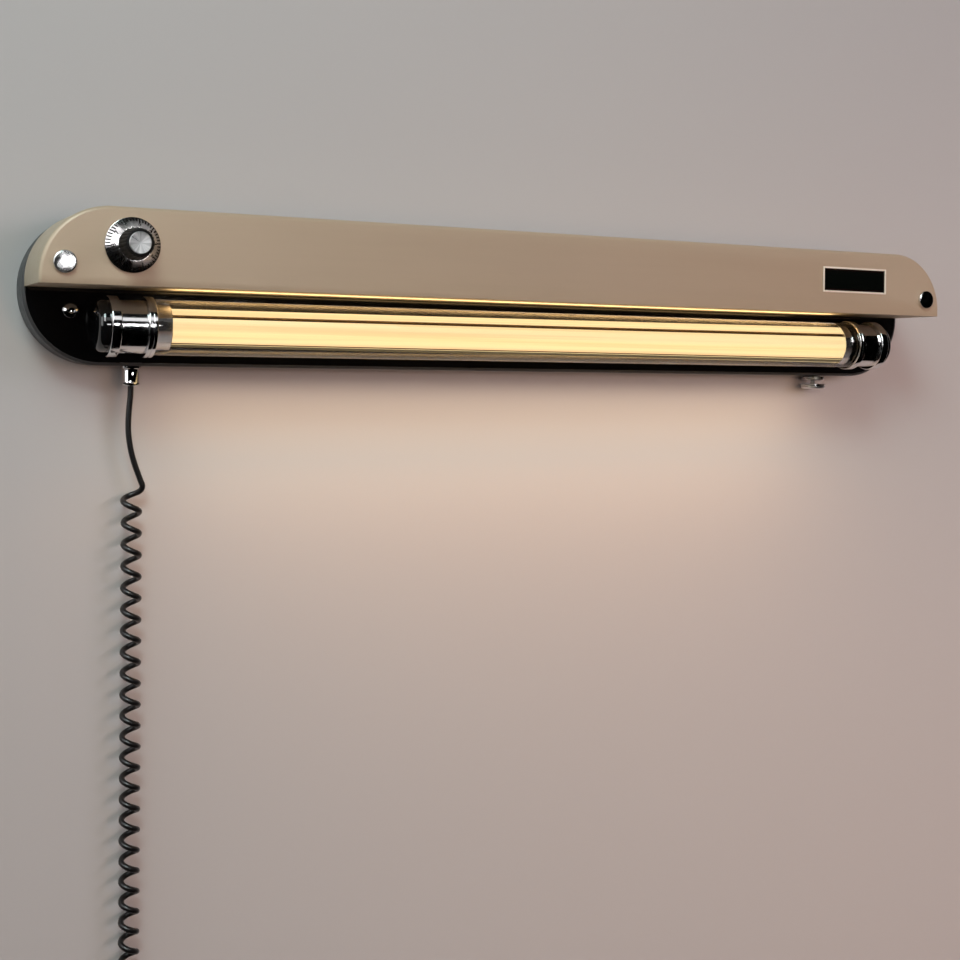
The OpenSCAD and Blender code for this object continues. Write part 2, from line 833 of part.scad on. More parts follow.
// Vector helpers for the cord
function unit(v) = v / norm(v);
function path_dir(p, i) =
    i == 0 ? unit(p[1] - p[0]) :
    i == len(p) - 1 ? unit(p[i] - p[i - 1]) : unit(unit(p[i + 1] - p[i]) + unit(p[i] - p[i - 1]));
function slid(n, t) = unit(n - (n * t) * t);
function path_side(p) =
    [for (i = 0, n = slid([0, 1, 0], path_dir(p, 0)); i < len(p);
          i = i + 1, n = i < len(p) ? slid(n, path_dir(p, i)) : n) n];
function path_len(p) = [for (i = 0, s = 0; i < len(p);
          i = i + 1, s = i < len(p) ? s + norm(p[i] - p[i - 1]) : s) s][len(p) - 1];

// One unbroken tube swept along the points p
module cord_tube(p, r, sides) {
    across = path_side(p);
    rings = [for (i = [0:len(p) - 1])
        let (t = path_dir(p, i), a = across[i], b = cross(t, a))
            [for (k = [0:sides - 1])
                p[i] + r * (cos(360 * k / sides) * a + sin(360 * k / sides) * b)]];
    pts = [for (ring = rings) each ring];
    last = (len(p) - 1) * sides;
    skin = [for (i = [0:len(p) - 2], k = [0:sides - 1])
        let (a = i * sides + k, b = i * sides + (k + 1) % sides)
            each [[a, a + sides, b], [b, a + sides, b + sides]]];
    caps = [for (k = [1:sides - 2]) each [[0, k, k + 1], [last, last + k + 1, last + k]]];
    polyhedron(points = pts, faces = concat(skin, caps));
}

// Smooth curve through hand-set points, with n steps between neighbours
function bend_at(p, i, u) =
    let (a = p[max(i - 1, 0)], b = p[i], c = p[i + 1], d = p[min(i + 2, len(p) - 1)])
        0.5 * (2 * b + (c - a) * u + (2 * a - 5 * b + 4 * c - d) * u * u
               + (3 * b - 3 * c + d - a) * u * u * u);
function smooth_path(p, n) =
    [for (i = [0:len(p) - 2], k = [0:n - 1]) bend_at(p, i, k / n), p[len(p) - 1]];

// Curly part: it leaves the lead, swings out to the curl radius and winds down
function curl_drop(t) = pitch_top * t - (pitch_top - pitch_end) / (2 * curls) * t * t;
function curl_reach(t) = curl_r + first_flare * pow(max(0, 1 - t), 2);
function curl_at(t) = [
    curl_x + curl_lean * t / curls + curl_reach(t) * cos(360 * t),
    curl_y + curl_reach(t) * sin(360 * t),
    curl_start - curl_drop(t)];
curl_end = [curl_x + curl_lean, curl_y, curl_start - curl_drop(curls)];
curl_exit = curl_end + [0, 0, -16];
lead_dir = unit(lead_at(lead_last) - lead_at(lead_route[len(lead_route) - 2]));
lead_end = lead_at(lead_last) + cord_d * lead_dir;
curl_path = concat(
    [lead_end, lead_end + cord_d * lead_dir, [curl_x + 7.2, curl_y + 1.6, curl_start + 0.1]],
    [for (i = [1:curls * curl_steps]) curl_at(i / curl_steps)],
    [curl_end + [4.2, 2.6, -3.4], curl_end + [1.4, 1.6, -7.4],
     curl_exit + [0, 0, cord_d], curl_exit]);

// Stored coil: down beside the turns, round and round, and straight down to the plug
coil_back = -3.8;
coil_mid_z = curl_exit[2] - 52;
coil_x = curl_exit[0] - coil_r;
function coil_at(t) = [
    coil_x + coil_r * cos(360 * t), coil_back - coil_pitch * t, coil_mid_z - coil_r * sin(360 * t)];
coil_exit = coil_at(coil_turns) + [0, 0, -20];
coil_lead = [
    curl_exit, curl_exit - [0, 0, cord_d], curl_exit + [0, 1, -12], curl_exit + [0.2, 3.6, -22],
    curl_exit + [0.3, 7, -32], [coil_x + coil_r + 0.2, coil_back + 0.4, coil_mid_z + 9]];
coil_path = concat(
    coil_lead,
    [for (i = [0:coil_turns * coil_steps]) coil_at(i / coil_steps)],
    [coil_exit + [0, 0, 12], coil_exit + [0, 0, cord_d], coil_exit]);

// Least distance between turns that lie more than half a turn apart, less the cord itself
function self_gap(p, skip) = min([
    for (i = [0:len(p) - 1 - skip], j = [i + skip:min(len(p) - 1, i + 2 * skip)])
        norm(p[i] - p[j])]) - cord_d;

lead_path = concat(smooth_path([for (p = lead_route) lead_at(p)], 2), [lead_end]);

module cord_lead() {
    color("#0e0e10") cord_tube(lead_path, cord_r, 8);
}

module cord_curls() {
    echo(least_gap_between_curls = self_gap(curl_path, 6));
    color("#0e0e10") cord_tube(curl_path, cord_r, 6);
}

module cord_coil() {
    echo(least_gap_in_coil = self_gap(coil_path, 16));
    color("#0e0e10") cord_tube(coil_path, cord_r, 6);
}

echo(cord_length = path_len(lead_path) + path_len(curl_path) + path_len(coil_path));

// Strap around the turns at the top of the coil
module coil_tie() {
    strap_w = 8;
    strap_t = 1;
    play = 0.4;
    deep = coil_pitch * (coil_turns - 1) + cord_d + 2 * play;
    tall = cord_d + 2 * play;
    mid_y = coil_back - coil_pitch * (coil_turns / 2 + 0.25);
    color("#151517") translate([coil_x, mid_y, coil_mid_z + coil_r - 0.2])
        rotate([0, 90, 0]) difference() {
            cube([tall + 2 * strap_t, deep + 2 * strap_t, strap_w], center = true);
            cube([tall, deep, strap_w + 2], center = true);
        }
}

boot_h = 24;
boot_low = coil_exit[2] - boot_h;
plug_h = 34;
plug_low = boot_low - plug_h;
plug_w = 35;
plug_t = 13.6;

module at_plug() {
    translate([coil_exit[0], coil_exit[1], 0]) children();
}

module plug_boot() {
    ribs = 5;
    top_r = 3;
    low_r = 4.8;
    rib_h = boot_h / ribs;
    color("#101012") at_plug() translate([0, 0, boot_low]) rotate_extrude() union() {
        polygon([[0, 0], [low_r - 0.8, 0], [top_r - 0.4, boot_h], [0, boot_h]]);
        for (i = [0:ribs - 1]) {
            r = low_r + (top_r - low_r) * i / (ribs - 1);
            translate([0, i * rib_h]) square([r, rib_h * 0.62]);
        }
    }
}

module plug_body() {
    color("#101012") at_plug() hull() {
        translate([0, 0, plug_low + plug_h - 1]) cylinder(d = 12, h = 1, $fn = 32);
        for (s = [-1, 1]) {
            translate([s * (plug_w - plug_t) / 2, 0, plug_low]) cylinder(d = plug_t, h = 14, $fn = 32);
            translate([s * 5, 0, plug_low + 22]) cylinder(d = plug_t, h = 2, $fn = 32);
        }
    }
}

module plug_pins() {
    pin_r = 2;
    color("#c9c9cc") at_plug() for (s = [-1, 1])
        translate([s * 9.5, 0, plug_low]) rotate([180, 0, 0]) {
            cylinder(r = pin_r, h = 19 - pin_r);
            translate([0, 0, 19 - pin_r]) sphere(pin_r);
        }
}

base_tray();
face_plate();
face_screws();
driver_box();
terminal_block();
inlet_cable();
plate_grommets();
hood();
hood_underside();
hood_posts();
hood_caps();
dimmer_pot();
dimmer_nut();
dimmer_board();
dial_skirt();
knob_body();
knob_insert();
dimmer_shaft();
knob_screw();
display_bezel();
display_window();
display_module();
hood_wires();
clear_tube();
diffuser();
led_board();
core_rods();
ferrules();
tube_pins();
tube_collars();
holder_bodies();
outer_flanges();
end_domes();
socket_inserts();
holder_feet();
foot_screws();
tube_wires();
switch_body();
switch_disc();
switch_nut();
switch_button();
gland_locknut();
gland_body();
gland_cap();
gland_seal();
cord_lead();
cord_curls();
cord_coil();
coil_tie();
plug_boot();
plug_body();
plug_pins();
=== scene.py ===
"""Looks of a long wall light: hood, glowing tube, dimmer, display, push switch and curly cord."""
import math

import bmesh
import bpy
from bpy.props import FloatProperty, FloatVectorProperty, IntProperty, PointerProperty
from mathutils import Matrix, Vector


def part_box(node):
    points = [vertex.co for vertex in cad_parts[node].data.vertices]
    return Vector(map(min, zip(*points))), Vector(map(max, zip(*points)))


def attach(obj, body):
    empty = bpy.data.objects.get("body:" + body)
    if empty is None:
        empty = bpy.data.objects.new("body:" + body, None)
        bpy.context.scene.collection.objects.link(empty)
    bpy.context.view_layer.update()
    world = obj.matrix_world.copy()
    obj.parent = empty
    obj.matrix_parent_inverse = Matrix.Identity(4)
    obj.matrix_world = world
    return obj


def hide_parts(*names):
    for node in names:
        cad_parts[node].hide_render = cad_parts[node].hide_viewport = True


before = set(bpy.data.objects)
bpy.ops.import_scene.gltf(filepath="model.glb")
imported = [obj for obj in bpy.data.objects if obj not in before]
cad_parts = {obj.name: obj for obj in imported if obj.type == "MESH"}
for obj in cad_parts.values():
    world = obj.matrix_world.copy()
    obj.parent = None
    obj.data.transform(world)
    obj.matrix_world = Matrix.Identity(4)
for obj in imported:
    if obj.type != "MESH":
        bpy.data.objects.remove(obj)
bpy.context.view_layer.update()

bl_info = {
    "name": "Long wall light",
    "version": (1, 0, 0),
    "blender": (4, 5, 0),
    "location": "View3D > Sidebar > Wall light",
    "description": "Gives the packed parts of a long wall light their finished surfaces",
    "category": "Add Mesh",
}

MM = 0.001
QUARTER = math.pi / 2
OUT = Vector((0, -1, 0))
ALONG = Vector((1, 0, 0))
UP = Vector((0, 0, 1))
DOWN = -UP


class Extent:
    """The box of a CAD node: its corners and sizes in millimetres, its centre in metres."""

    def __init__(self, node):
        low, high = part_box(node)
        self.x0, self.y0, self.z0 = (value / MM for value in low)
        self.x1, self.y1, self.z1 = (value / MM for value in high)
        self.wide, self.deep, self.tall = self.x1 - self.x0, self.y1 - self.y0, self.z1 - self.z0
        self.centre = (low + high) / 2
        self.corners = (self.x0, self.y0, self.z0), (self.x1, self.y1, self.z1)


# Sizes of the light in millimetres. REACH is from its middle to the centre of a round end, and
# OUT is a distance out from the wall. The names with AT are places in metres
REACH = 345.0
SIDES = 128  # of the round ends
BASE_R = Extent("base_tray").z1
BASE_OUT = -Extent("base_tray").y0
HOOD = Extent("hood")
HOOD_CORNER = 49.0
HOOD_OUT = -HOOD.y0
TUBE = Extent("clear_tube")
TUBE_OUT = -TUBE.centre.y / MM
TUBE_UP = TUBE.centre.z / MM
TUBE_AT = (0, TUBE.centre.y, TUBE.centre.z)
DIAL = Extent("dial_skirt")
DIAL_AT = Vector((DIAL.centre.x, 0, DIAL.centre.z))
WALL_HOLE_X = 250.0
WALL_HOLE_R = 2.75

# The camera as it was solved from the photo
CAMERA_AT = (-577.28 * MM, -1098.57 * MM, -59.9 * MM)
CAMERA_TURN = math.radians(26.568)
CAMERA_ROLL = math.radians(0.684)
CAMERA_LENS = 55.58
CAMERA_SHIFT = -0.1074

# Route of the cord in millimetres: the lead from the gland, the curls, and the coil of spare length
LEAD_ROUTE = (
    (-320, -11, -63.5), (-320, -11, -70), (-320.2, -11, -78), (-321, -11, -87),
    (-321.4, -11, -96), (-321.2, -11, -104), (-320.2, -11, -112), (-318.5, -11, -120),
    (-316.1, -11, -128), (-313.5, -11, -135),
)
CURLS = 25
CURL_R = 5.7
CURL_STEPS = 24
PITCH_TOP, PITCH_END = 16.1, 14.6
CURL_LEAN = 2.0
FIRST_FLARE = 1.4
AXIS_SHIFT = (-4.9, 0, -11.5)
BELOW_CURLS = 16
COIL_TURNS = 4
COIL_STEPS = 36
COIL_R = 24.0
COIL_PITCH = 5.3
COIL_BACK = -3.8
COIL_DROP = 52
COIL_TAIL = 20

# Rings of the plug's body: how much narrower and thinner than its widest, and the height
PLUG_RINGS = (
    (0, 0, 0), (0, 0, 1.2), (0, 0, 12), (0.8, 0.1, 15), (2.4, 0.9, 17), (3.4, 1.5, 18.2),
    (4.2, 0.9, 19.4), (5.6, 0.8, 21), (6.6, 1.5, 22.2), (7.4, 0.9, 23.4), (8.7, 0.9, 25),
    (9.4, 1.5, 26.2), (10, 1.0, 27.4),
)

# Moulded inner parts: material, colour, roughness, and the CAD nodes that wear it
INNER_PARTS = (
    ("driver_case", (0.6, 0.6, 0.57), 0.5, ("driver_box",)),
    ("strip_white", (0.75, 0.74, 0.7), 0.5, ("terminal_block", "led_board", "socket_inserts")),
    ("board_green", (0.02, 0.13, 0.06), 0.35, ("dimmer_board", "display_module")),
    ("wire_red", (0.35, 0.03, 0.02), 0.4, ("hood_wires",)),
    ("wire_blue", (0.05, 0.12, 0.35), 0.4, ("tube_wires",)),
    ("switch_case", (0.02, 0.02, 0.021), 0.45, ("switch_body",)),
    ("inner_rubber", (0.012, 0.012, 0.012), 0.6, ("plate_grommets", "gland_seal")),
    ("inner_sheath", (0.01, 0.01, 0.01), 0.45, ("inlet_cable",)),
)


def length(name, description, size):
    """A length property, with its default in millimetres."""
    return FloatProperty(name=name, description=description, default=size * MM, unit="LENGTH")


def tint(name, description, value):
    """A colour property, with its default as linear values."""
    return FloatVectorProperty(
        name=name, description=description, default=value, size=3, subtype="COLOR")


class LightSizes(bpy.types.PropertyGroup):
    """Sizes of the finish that can be changed by hand."""

    rim_round: length("Rim rounding", "Rounding of the tray's front rim", 2.0)
    hood_round: length("Hood rounding", "Rounding of the hood's front edge", 3.0)
    sheet: length("Hood sheet", "Thickness of the hood's metal sheet", 1.5)
    tick_step: FloatProperty(
        name="Tick step", description="Angle between the ticks of the dial",
        default=math.radians(7.2), subtype="ANGLE")
    dial_numbers: IntProperty(
        name="Dial numbers", description="How many numbers stand round the dial", default=10)
    flutes: IntProperty(
        name="Flutes", description="Number of flutes around the knob", default=24)
    cord_width: length("Cord diameter", "Outer diameter of the cord", 4.3)
    cord_length: length("Cord length", "Length of the cord from the gland to the plug", 1760)


class LightColours(bpy.types.PropertyGroup):
    """Colours of the visible finishes, as linear values."""

    hood: tint("Hood", "Champagne paint of the hood", (0.5, 0.39, 0.282))
    tray: tint("Tray", "Powder coat of the tray", (0.042, 0.043, 0.046))
    black: tint("Black", "Gloss black of the front plate", (0.004, 0.004, 0.0045))
    chrome: tint("Chrome", "Polished fittings", (0.78, 0.77, 0.78))
    glow: tint("Glow", "Light of the tube's core", (1.0, 0.8, 0.42))
    cord: tint("Cord", "Sheath of the cord", (0.006, 0.0055, 0.006))


class Finish:
    """A procedural material whose patterns lie on Object coordinates."""

    def __init__(self, name, colour, rough, metallic=0.0, **sockets):
        self.material = bpy.data.materials.new(name)
        self.material.use_nodes = True
        self.tree = self.material.node_tree
        self.shader = self.tree.nodes["Principled BSDF"]
        self.colour = tuple(colour)
        values = {"Base Color": (*colour, 1), "Roughness": rough, "Metallic": metallic, **sockets}
        for socket, value in values.items():
            self.shader.inputs[socket].default_value = value
        self.place = self.add("ShaderNodeTexCoord").outputs["Object"]

    def add(self, kind, **settings):
        node = self.tree.nodes.new(kind)
        for key, value in settings.items():
            setattr(node, key, value)
        return node

    def feed(self, node, **inputs):
        """Sets or links inputs: by name with underscores for blanks, or as i and a number."""
        for key, value in inputs.items():
            index = int(key[1:]) if key[1:].isdigit() else key.replace("_", " ")
            if isinstance(value, bpy.types.NodeSocket):
                self.tree.links.new(value, node.inputs[index])
            else:
                node.inputs[index].default_value = value
        return node

    def stretched(self, scale, centre=(0, 0, 0)):
        """The coordinates moved to a centre, in metres, and stretched."""
        node = self.add("ShaderNodeMapping")
        shift = [-c * s for c, s in zip(centre, scale)]
        return self.feed(node, Vector=self.place, Scale=scale, Location=shift).outputs[0]

    def axes(self, centre):
        """The coordinates from a centre, in metres, as one output for each axis."""
        node = self.add("ShaderNodeSeparateXYZ")
        return self.feed(node, Vector=self.stretched((1, 1, 1), centre)).outputs

    def noise(self, scale, detail=3.0, stretch=(1, 1, 1)):
        node = self.add("ShaderNodeTexNoise")
        self.feed(node, Vector=self.stretched(stretch), Scale=scale, Detail=detail)
        return node.outputs[0]

    def pattern(self, value):
        """An output as it is, or a noise from its scale, detail and stretch."""
        return self.noise(*value) if isinstance(value, tuple) else value

    def math(self, operation, first, second=0.0):
        node = self.add("ShaderNodeMath", operation=operation)
        return self.feed(node, i0=first, i1=second).outputs[0]

    def spread(self, value, low, high, start=0.3, stop=0.7):
        node = self.add("ShaderNodeMapRange")
        self.feed(node, Value=value, From_Min=start, From_Max=stop, To_Min=low, To_Max=high)
        return node.outputs[0]

    def mixed(self, value, dark, light):
        """A mix of two colours, each of them three values or an output."""
        node = self.add("ShaderNodeMix", data_type="RGBA")
        first, second = (each if isinstance(each, bpy.types.NodeSocket) else (*each, 1)
                         for each in (dark, light))
        return self.feed(node, i0=value, i6=first, i7=second).outputs[2]

    def shade(self, value, darker, lighter):
        """Varies the base colour a little with a pattern."""
        dark = [c * darker for c in self.colour]
        light = [min(1.0, c * lighter) for c in self.colour]
        self.feed(self.shader, Base_Color=self.mixed(self.pattern(value), dark, light))
        return self

    def gloss(self, value, low, high):
        """Varies the roughness with a pattern."""
        self.feed(self.shader, Roughness=self.spread(self.pattern(value), low, high))
        return self

    def relief(self, value, strength, depth):
        """A fine relief, with its depth in metres."""
        node = self.add("ShaderNodeBump")
        self.feed(node, Height=self.pattern(value), Strength=strength, Distance=depth)
        self.feed(self.shader, Normal=node.outputs[0])
        return self


def champagne(colours):
    """Satin metallic paint with a faint grain along the sheet."""
    finish = Finish("hood_champagne", colours.hood, 0.42, 0.15)
    grain = finish.noise(220, 4, (0.06, 1, 1))
    cloud = finish.math("MULTIPLY", finish.noise(9, 2, (0.4, 1, 1)), 0.55)
    finish.shade(finish.math("ADD", finish.math("MULTIPLY", grain, 0.45), cloud), 0.93, 1.07)
    return finish.gloss(grain, 0.36, 0.46).relief((1400, 2), 0.12, 0.00005).material


def underside_champagne(colours):
    """The same paint on the flat underside, where it catches the tube's glow."""
    finish = Finish("underside_champagne", colours.hood, 0.5, 0.1)
    grain = finish.noise(260, 3, (0.05, 1, 1))
    return finish.shade(grain, 0.92, 1.05).gloss(grain, 0.46, 0.56).material


def powder_grey(colours):
    """Fine textured powder coat."""
    finish = Finish("tray_paint", colours.tray, 0.42)
    finish.shade((60, 3), 0.9, 1.12).gloss((180, 2), 0.36, 0.48)
    return finish.relief((2600, 2), 0.35, 0.00008).material


def gloss_black(colours, name="gloss_black", rough=0.06):
    """Polished black with a little haze."""
    finish = Finish(name, colours.black, rough, **{"Coat Weight": 0.5, "Coat Roughness": 0.03})
    haze = finish.noise(35, 4)
    return finish.shade(haze, 0.8, 1.3).gloss(haze, rough * 0.7, rough * 1.8).material


def chrome(colours, name, rough):
    """Polished plating, a little uneven in its gloss."""
    finish = Finish(name, colours.chrome, rough, 1.0)
    haze = finish.noise(160, 4)
    finish.shade(haze, 0.94, 1.04).gloss(haze, rough * 0.6, rough * 1.9)
    return finish.relief((420, 2), 0.04, 0.00005).material


def steel(name, colour, rough):
    """Plain metal with a little wear."""
    finish = Finish(name, colour, rough, 1.0)
    wear = finish.noise(300, 4)
    return finish.shade(wear, 0.8, 1.15).gloss(wear, rough * 0.8, rough * 1.3).material


def moulded(name, colour, rough, grain=900, **sockets):
    """Moulded plastic or rubber with a fine skin."""
    finish = Finish(name, colour, rough, **sockets)
    finish.shade((80, 3), 0.88, 1.14).gloss((240, 2), rough * 0.85, rough * 1.15)
    return finish.relief((grain, 2), 0.2, 0.00008).material


def spun(name, colour, rough, streak, rings):
    """Metal turned on a lathe: a painted sheen of lighter and darker sectors by angle in its colour, a
    roughness that varies with them, and fine rings about the dial's axis.
    """
    finish = Finish(name, colour, rough, 1.0)
    axes = finish.axes(DIAL_AT)
    angle = finish.math("ARCTAN2", axes["Z"], axes["X"])
    painted_sheen_fan = finish.add("ShaderNodeTexNoise", noise_dimensions="1D")
    finish.feed(painted_sheen_fan, W=finish.math("MULTIPLY", angle, 2.2), Scale=1.0, Detail=3.0)
    # Painted sheen: sectors by angle lighten and darken the base colour like the highlights of turned
    # metal; streak sets how strong it is
    finish.shade(finish.spread(painted_sheen_fan.outputs[0], 0, 1, 0.38, 0.62), 1 - streak, 1 + streak * 0.35)
    squares = [finish.math("POWER", axes[axis], 2) for axis in "ZX"]
    distance = finish.math("SQRT", finish.math("ADD", *squares))
    wave = finish.math("SINE", finish.math("MULTIPLY", distance, rings))
    finish.gloss(painted_sheen_fan.outputs[0], rough * 0.7, rough * 1.4)
    return finish.relief(wave, 0.12, 0.00003).material


def clear_wall():
    """Clear polished wall of the tube."""
    sockets = {"Transmission Weight": 1.0, "IOR": 1.49}
    finish = Finish("clear_acrylic", (1.0, 0.985, 0.95), 0.0, **sockets)
    return finish.shade((5, 2, (0.1, 1, 1)), 0.99, 1.0).material


def lit_core(colours):
    """Frosted core lit from inside, a touch darker in streaks along it, with an unlit underside."""
    finish = Finish("warm_diffuser", (0.25, 0.2, 0.12), 0.5, **{"Emission Strength": 1.0})
    streak = finish.spread(finish.noise(420, 2, (0.006, 1, 1)), 0, 1, 0.42, 0.6)
    glow = finish.mixed(streak, [c * s for c, s in zip(colours.glow, (0.95, 0.86, 0.8))], colours.glow)
    height = finish.axes((0, 0, TUBE_AT[2]))["Z"]
    lit = finish.spread(height, 0, 1, -8.8 * MM, -8.6 * MM)
    unlit = [c * 0.05 for c in colours.glow]
    finish.feed(finish.shader, Emission_Color=finish.mixed(lit, unlit, glow))
    return finish.material


def display_glass(pane):
    """Black pane with a brown printed border."""
    finish = Finish("display_black", (0.002, 0.003, 0.002), 0.07)
    axes = finish.axes(pane.centre)
    border = 2.0
    sides = [finish.math("GREATER_THAN", finish.math("ABSOLUTE", axes[axis]), (size / 2 - border) * MM)
             for axis, size in (("X", pane.wide), ("Z", pane.tall))]
    paint = finish.mixed(finish.math("MAXIMUM", *sides), (0.002, 0.003, 0.0025), (0.012, 0.005, 0.004))
    finish.feed(finish.shader, Base_Color=paint)
    return finish.gloss((70, 3), 0.05, 0.1).material


def cord_sheath(colours):
    """Smooth flexible sheath with a faint matt bloom."""
    finish = Finish("cord_black", colours.cord, 0.34, **{"Coat Weight": 0.15, "Coat Roughness": 0.3})
    finish.shade((120, 3), 0.7, 1.5).gloss((500, 2), 0.28, 0.42)
    return finish.relief((1500, 2), 0.15, 0.00006).material


def deselect():
    if bpy.context.object and bpy.context.object.mode != "OBJECT":
        bpy.ops.object.mode_set(mode="OBJECT")
    bpy.ops.object.select_all(action="DESELECT")


def choose(piece):
    """Makes a piece the only selected and the active object, in object mode."""
    deselect()
    bpy.context.view_layer.objects.active = piece
    piece.select_set(True)


def edit(piece, kind="VERT"):
    """Opens a piece in edit mode, for work on its vertices, edges or faces."""
    choose(piece)
    bpy.ops.object.mode_set(mode="EDIT")
    bpy.ops.mesh.select_mode(type=kind)


def pick(piece, kind, test):
    """Selects the vertices, edges or faces in edit mode that pass a test on their place."""
    bpy.ops.mesh.select_mode(type=kind)
    bpy.ops.mesh.select_all(action="DESELECT")
    mesh = bmesh.from_edit_mesh(piece.data)
    for item in {"VERT": mesh.verts, "EDGE": mesh.edges, "FACE": mesh.faces}[kind]:
        item.select_set(test(item))
    mesh.select_flush_mode()
    bmesh.update_edit_mesh(piece.data)


def pick_all():
    bpy.ops.mesh.select_all(action="SELECT")


def push(x=0.0, y=0.0, z=0.0):
    """Extrudes what is selected by a step in metres."""
    bpy.ops.mesh.extrude_region_move(TRANSFORM_OT_translate={"value": (x, y, z)})


def loft(rings, centre=(0, 0, 0)):
    """Extrudes the selected first ring to each next (width, depth, height), resized about a centre."""
    for (wide, deep, height), (next_wide, next_deep, next_height) in zip(rings, rings[1:]):
        push(z=(next_height - height) * MM)
        share = (next_wide / wide, next_deep / deep, 1)
        bpy.ops.transform.resize(value=share, center_override=centre)


def pull_apart(piece, reach):
    """Draws a circle out along X into a form with round ends, by a reach in millimetres."""
    edit(piece)
    for side in (-1, 1):
        pick(piece, "VERT", lambda v: v.co.x * side > 0)
        bpy.ops.transform.translate(value=(side * reach * MM, 0, 0))
    pick_all()


def closed(piece):
    """Merges doubles, points all faces outwards and leaves edit mode."""
    pick_all()
    bpy.ops.mesh.remove_doubles(threshold=1e-6)
    bpy.ops.mesh.normals_make_consistent(inside=False)
    bpy.ops.object.mode_set(mode="OBJECT")
    return piece


def modify(piece, kind, **settings):
    """Adds a modifier and applies it at once."""
    choose(piece)
    modifier = piece.modifiers.new(kind.title(), kind)
    for key, value in settings.items():
        setattr(modifier, key, value)
    bpy.ops.object.modifier_apply(modifier=modifier.name)
    return piece


def soften(piece, width, steps=3, angle=30):
    """Rounds the edges sharper than an angle, by a width in millimetres."""
    return modify(piece, "BEVEL", width=width * MM, segments=steps, limit_method="ANGLE",
                  angle_limit=math.radians(angle), use_clamp_overlap=True)


def settle(piece):
    """Puts a piece's place and turn into its mesh."""
    choose(piece)
    bpy.ops.object.transform_apply(location=True, rotation=True, scale=True)
    return piece


def stand(piece, place, along):
    """Turns a form drawn about Z to lie along a direction, at a place in metres."""
    piece.rotation_euler = Vector(along).to_track_quat("Z", "Y").to_euler()
    piece.location = place
    return settle(piece)


def both_ends(piece):
    """Repeats a piece at the other end of the light."""
    modify(piece, "MIRROR", use_axis=(True, False, False), use_mirror_merge=False)
    edit(piece)
    return closed(piece)


def joined(name, pieces):
    deselect()
    for piece in pieces:
        piece.select_set(True)
    bpy.context.view_layer.objects.active = pieces[0]
    bpy.ops.object.join()
    pieces[0].name = name
    return pieces[0]


def copied(piece, matrix):
    """A copy with its own mesh, moved by a matrix."""
    twin = piece.copy()
    twin.data = piece.data.copy()
    twin.data.transform(matrix)
    bpy.context.scene.collection.objects.link(twin)
    return twin


def cut(piece, cutter):
    """Cuts one solid out of another and removes the cutter."""
    modify(piece, "BOOLEAN", object=cutter, operation="DIFFERENCE", solver="EXACT")
    bpy.data.objects.remove(cutter)
    return piece


def drill(piece, radius, depth, place, turn=(0, 0, 0), sides=48):
    """Cuts a round or many-sided hole: sizes in millimetres, the middle of its depth in metres."""
    deselect()
    bpy.ops.mesh.primitive_cylinder_add(
        vertices=sides, radius=radius * MM, depth=depth * MM, location=place, rotation=turn)
    return cut(piece, settle(bpy.context.object))


def finished(piece, material, node, body="root", smooth=32):
    """Shades a piece, dresses it, seats it on its body and hides the CAD node it stands for."""
    choose(piece)
    bpy.ops.object.shade_smooth_by_angle(angle=math.radians(smooth))
    if not piece.data.materials:
        piece.data.materials.append(material)
    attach(piece, body)
    if node:
        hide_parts(node)
    return piece


def ring_of(name, sides, radius, place=(0, 0, 0), turn=(0, 0, 0), fill="NGON"):
    """A circle to draw a form from, with its radius in millimetres."""
    deselect()
    bpy.ops.mesh.primitive_circle_add(
        vertices=sides, radius=radius * MM, fill_type=fill, location=place, rotation=turn)
    bpy.context.object.name = name
    return bpy.context.object


def turned(name, outline, sides):
    """A form about Z: a circle extruded and resized from ring to ring.

    The outline is (radius, height) pairs in millimetres. Radius 0 at its first or last pair
    closes that end; without either, the outline closes on itself round a bore.
    """
    rings = [pair for pair in outline if pair[0] > 0]
    radius, height = rings[0]
    piece = ring_of(name, sides, radius, fill="NOTHING")
    edit(piece)
    pick_all()
    bpy.ops.transform.translate(value=(0, 0, height * MM))
    bored = outline[0][0] > 0 and outline[-1][0] > 0
    loft([(r, r, h) for r, h in rings + rings[:1] * bored])
    if outline[-1][0] == 0:
        push(z=(outline[-1][1] - rings[-1][1]) * MM)
        bpy.ops.mesh.merge(type="CENTER")
    if outline[0][0] == 0:
        pick(piece, "VERT", lambda v: v.is_boundary and abs(v.co.z - height * MM) < 1e-7
             and abs(v.co.xy.length - radius * MM) < 1e-7)
        push(z=(outline[0][1] - height) * MM)
        bpy.ops.mesh.merge(type="CENTER")
    return closed(piece)


def upright(name, outline, sides, place):
    """A turned form that stands up at a place in metres."""
    return stand(turned(name, outline, sides), place, UP)


def on_tube(name, outline, sides):
    """A turned form that lies along the tube's axis, with its heights counted from the middle."""
    return stand(turned(name, outline, sides), TUBE_AT, ALONG)


def on_dial(name, outline, sides, back):
    """A turned form that stands out from the wall on the dial's axis, from a depth in millimetres."""
    return stand(turned(name, outline, sides), DIAL_AT + Vector((0, back * MM, 0)), OUT)


def arc(centre_r, centre_h, radius, start, stop, steps=6):
    """Points of a round corner for an outline, by angle from the radius direction."""
    angles = [math.radians(start + (stop - start) * i / steps) for i in range(steps + 1)]
    return [(centre_r + radius * math.cos(a), centre_h + radius * math.sin(a)) for a in angles]


def profile(radius, base, *steps):
    """Points of an outline as steps in from a radius and up from a base."""
    return [(radius - inset, base + rise) for inset, rise in steps]


def bar(radius, half):
    """The outline of a plain bar with closed ends, by half its length."""
    return [(0, -half), (radius, -half), (radius, half), (0, half)]


def slab(name, radius, back, front, reach=REACH, sides=SIDES):
    """A plate with round ends that stands off the wall from back to front, in millimetres."""
    turn = (QUARTER, math.pi / sides, 0)
    piece = settle(ring_of(name, sides, radius, (0, -back * MM, 0), turn))
    pull_apart(piece, reach)
    push(y=(back - front) * MM)
    return closed(piece)


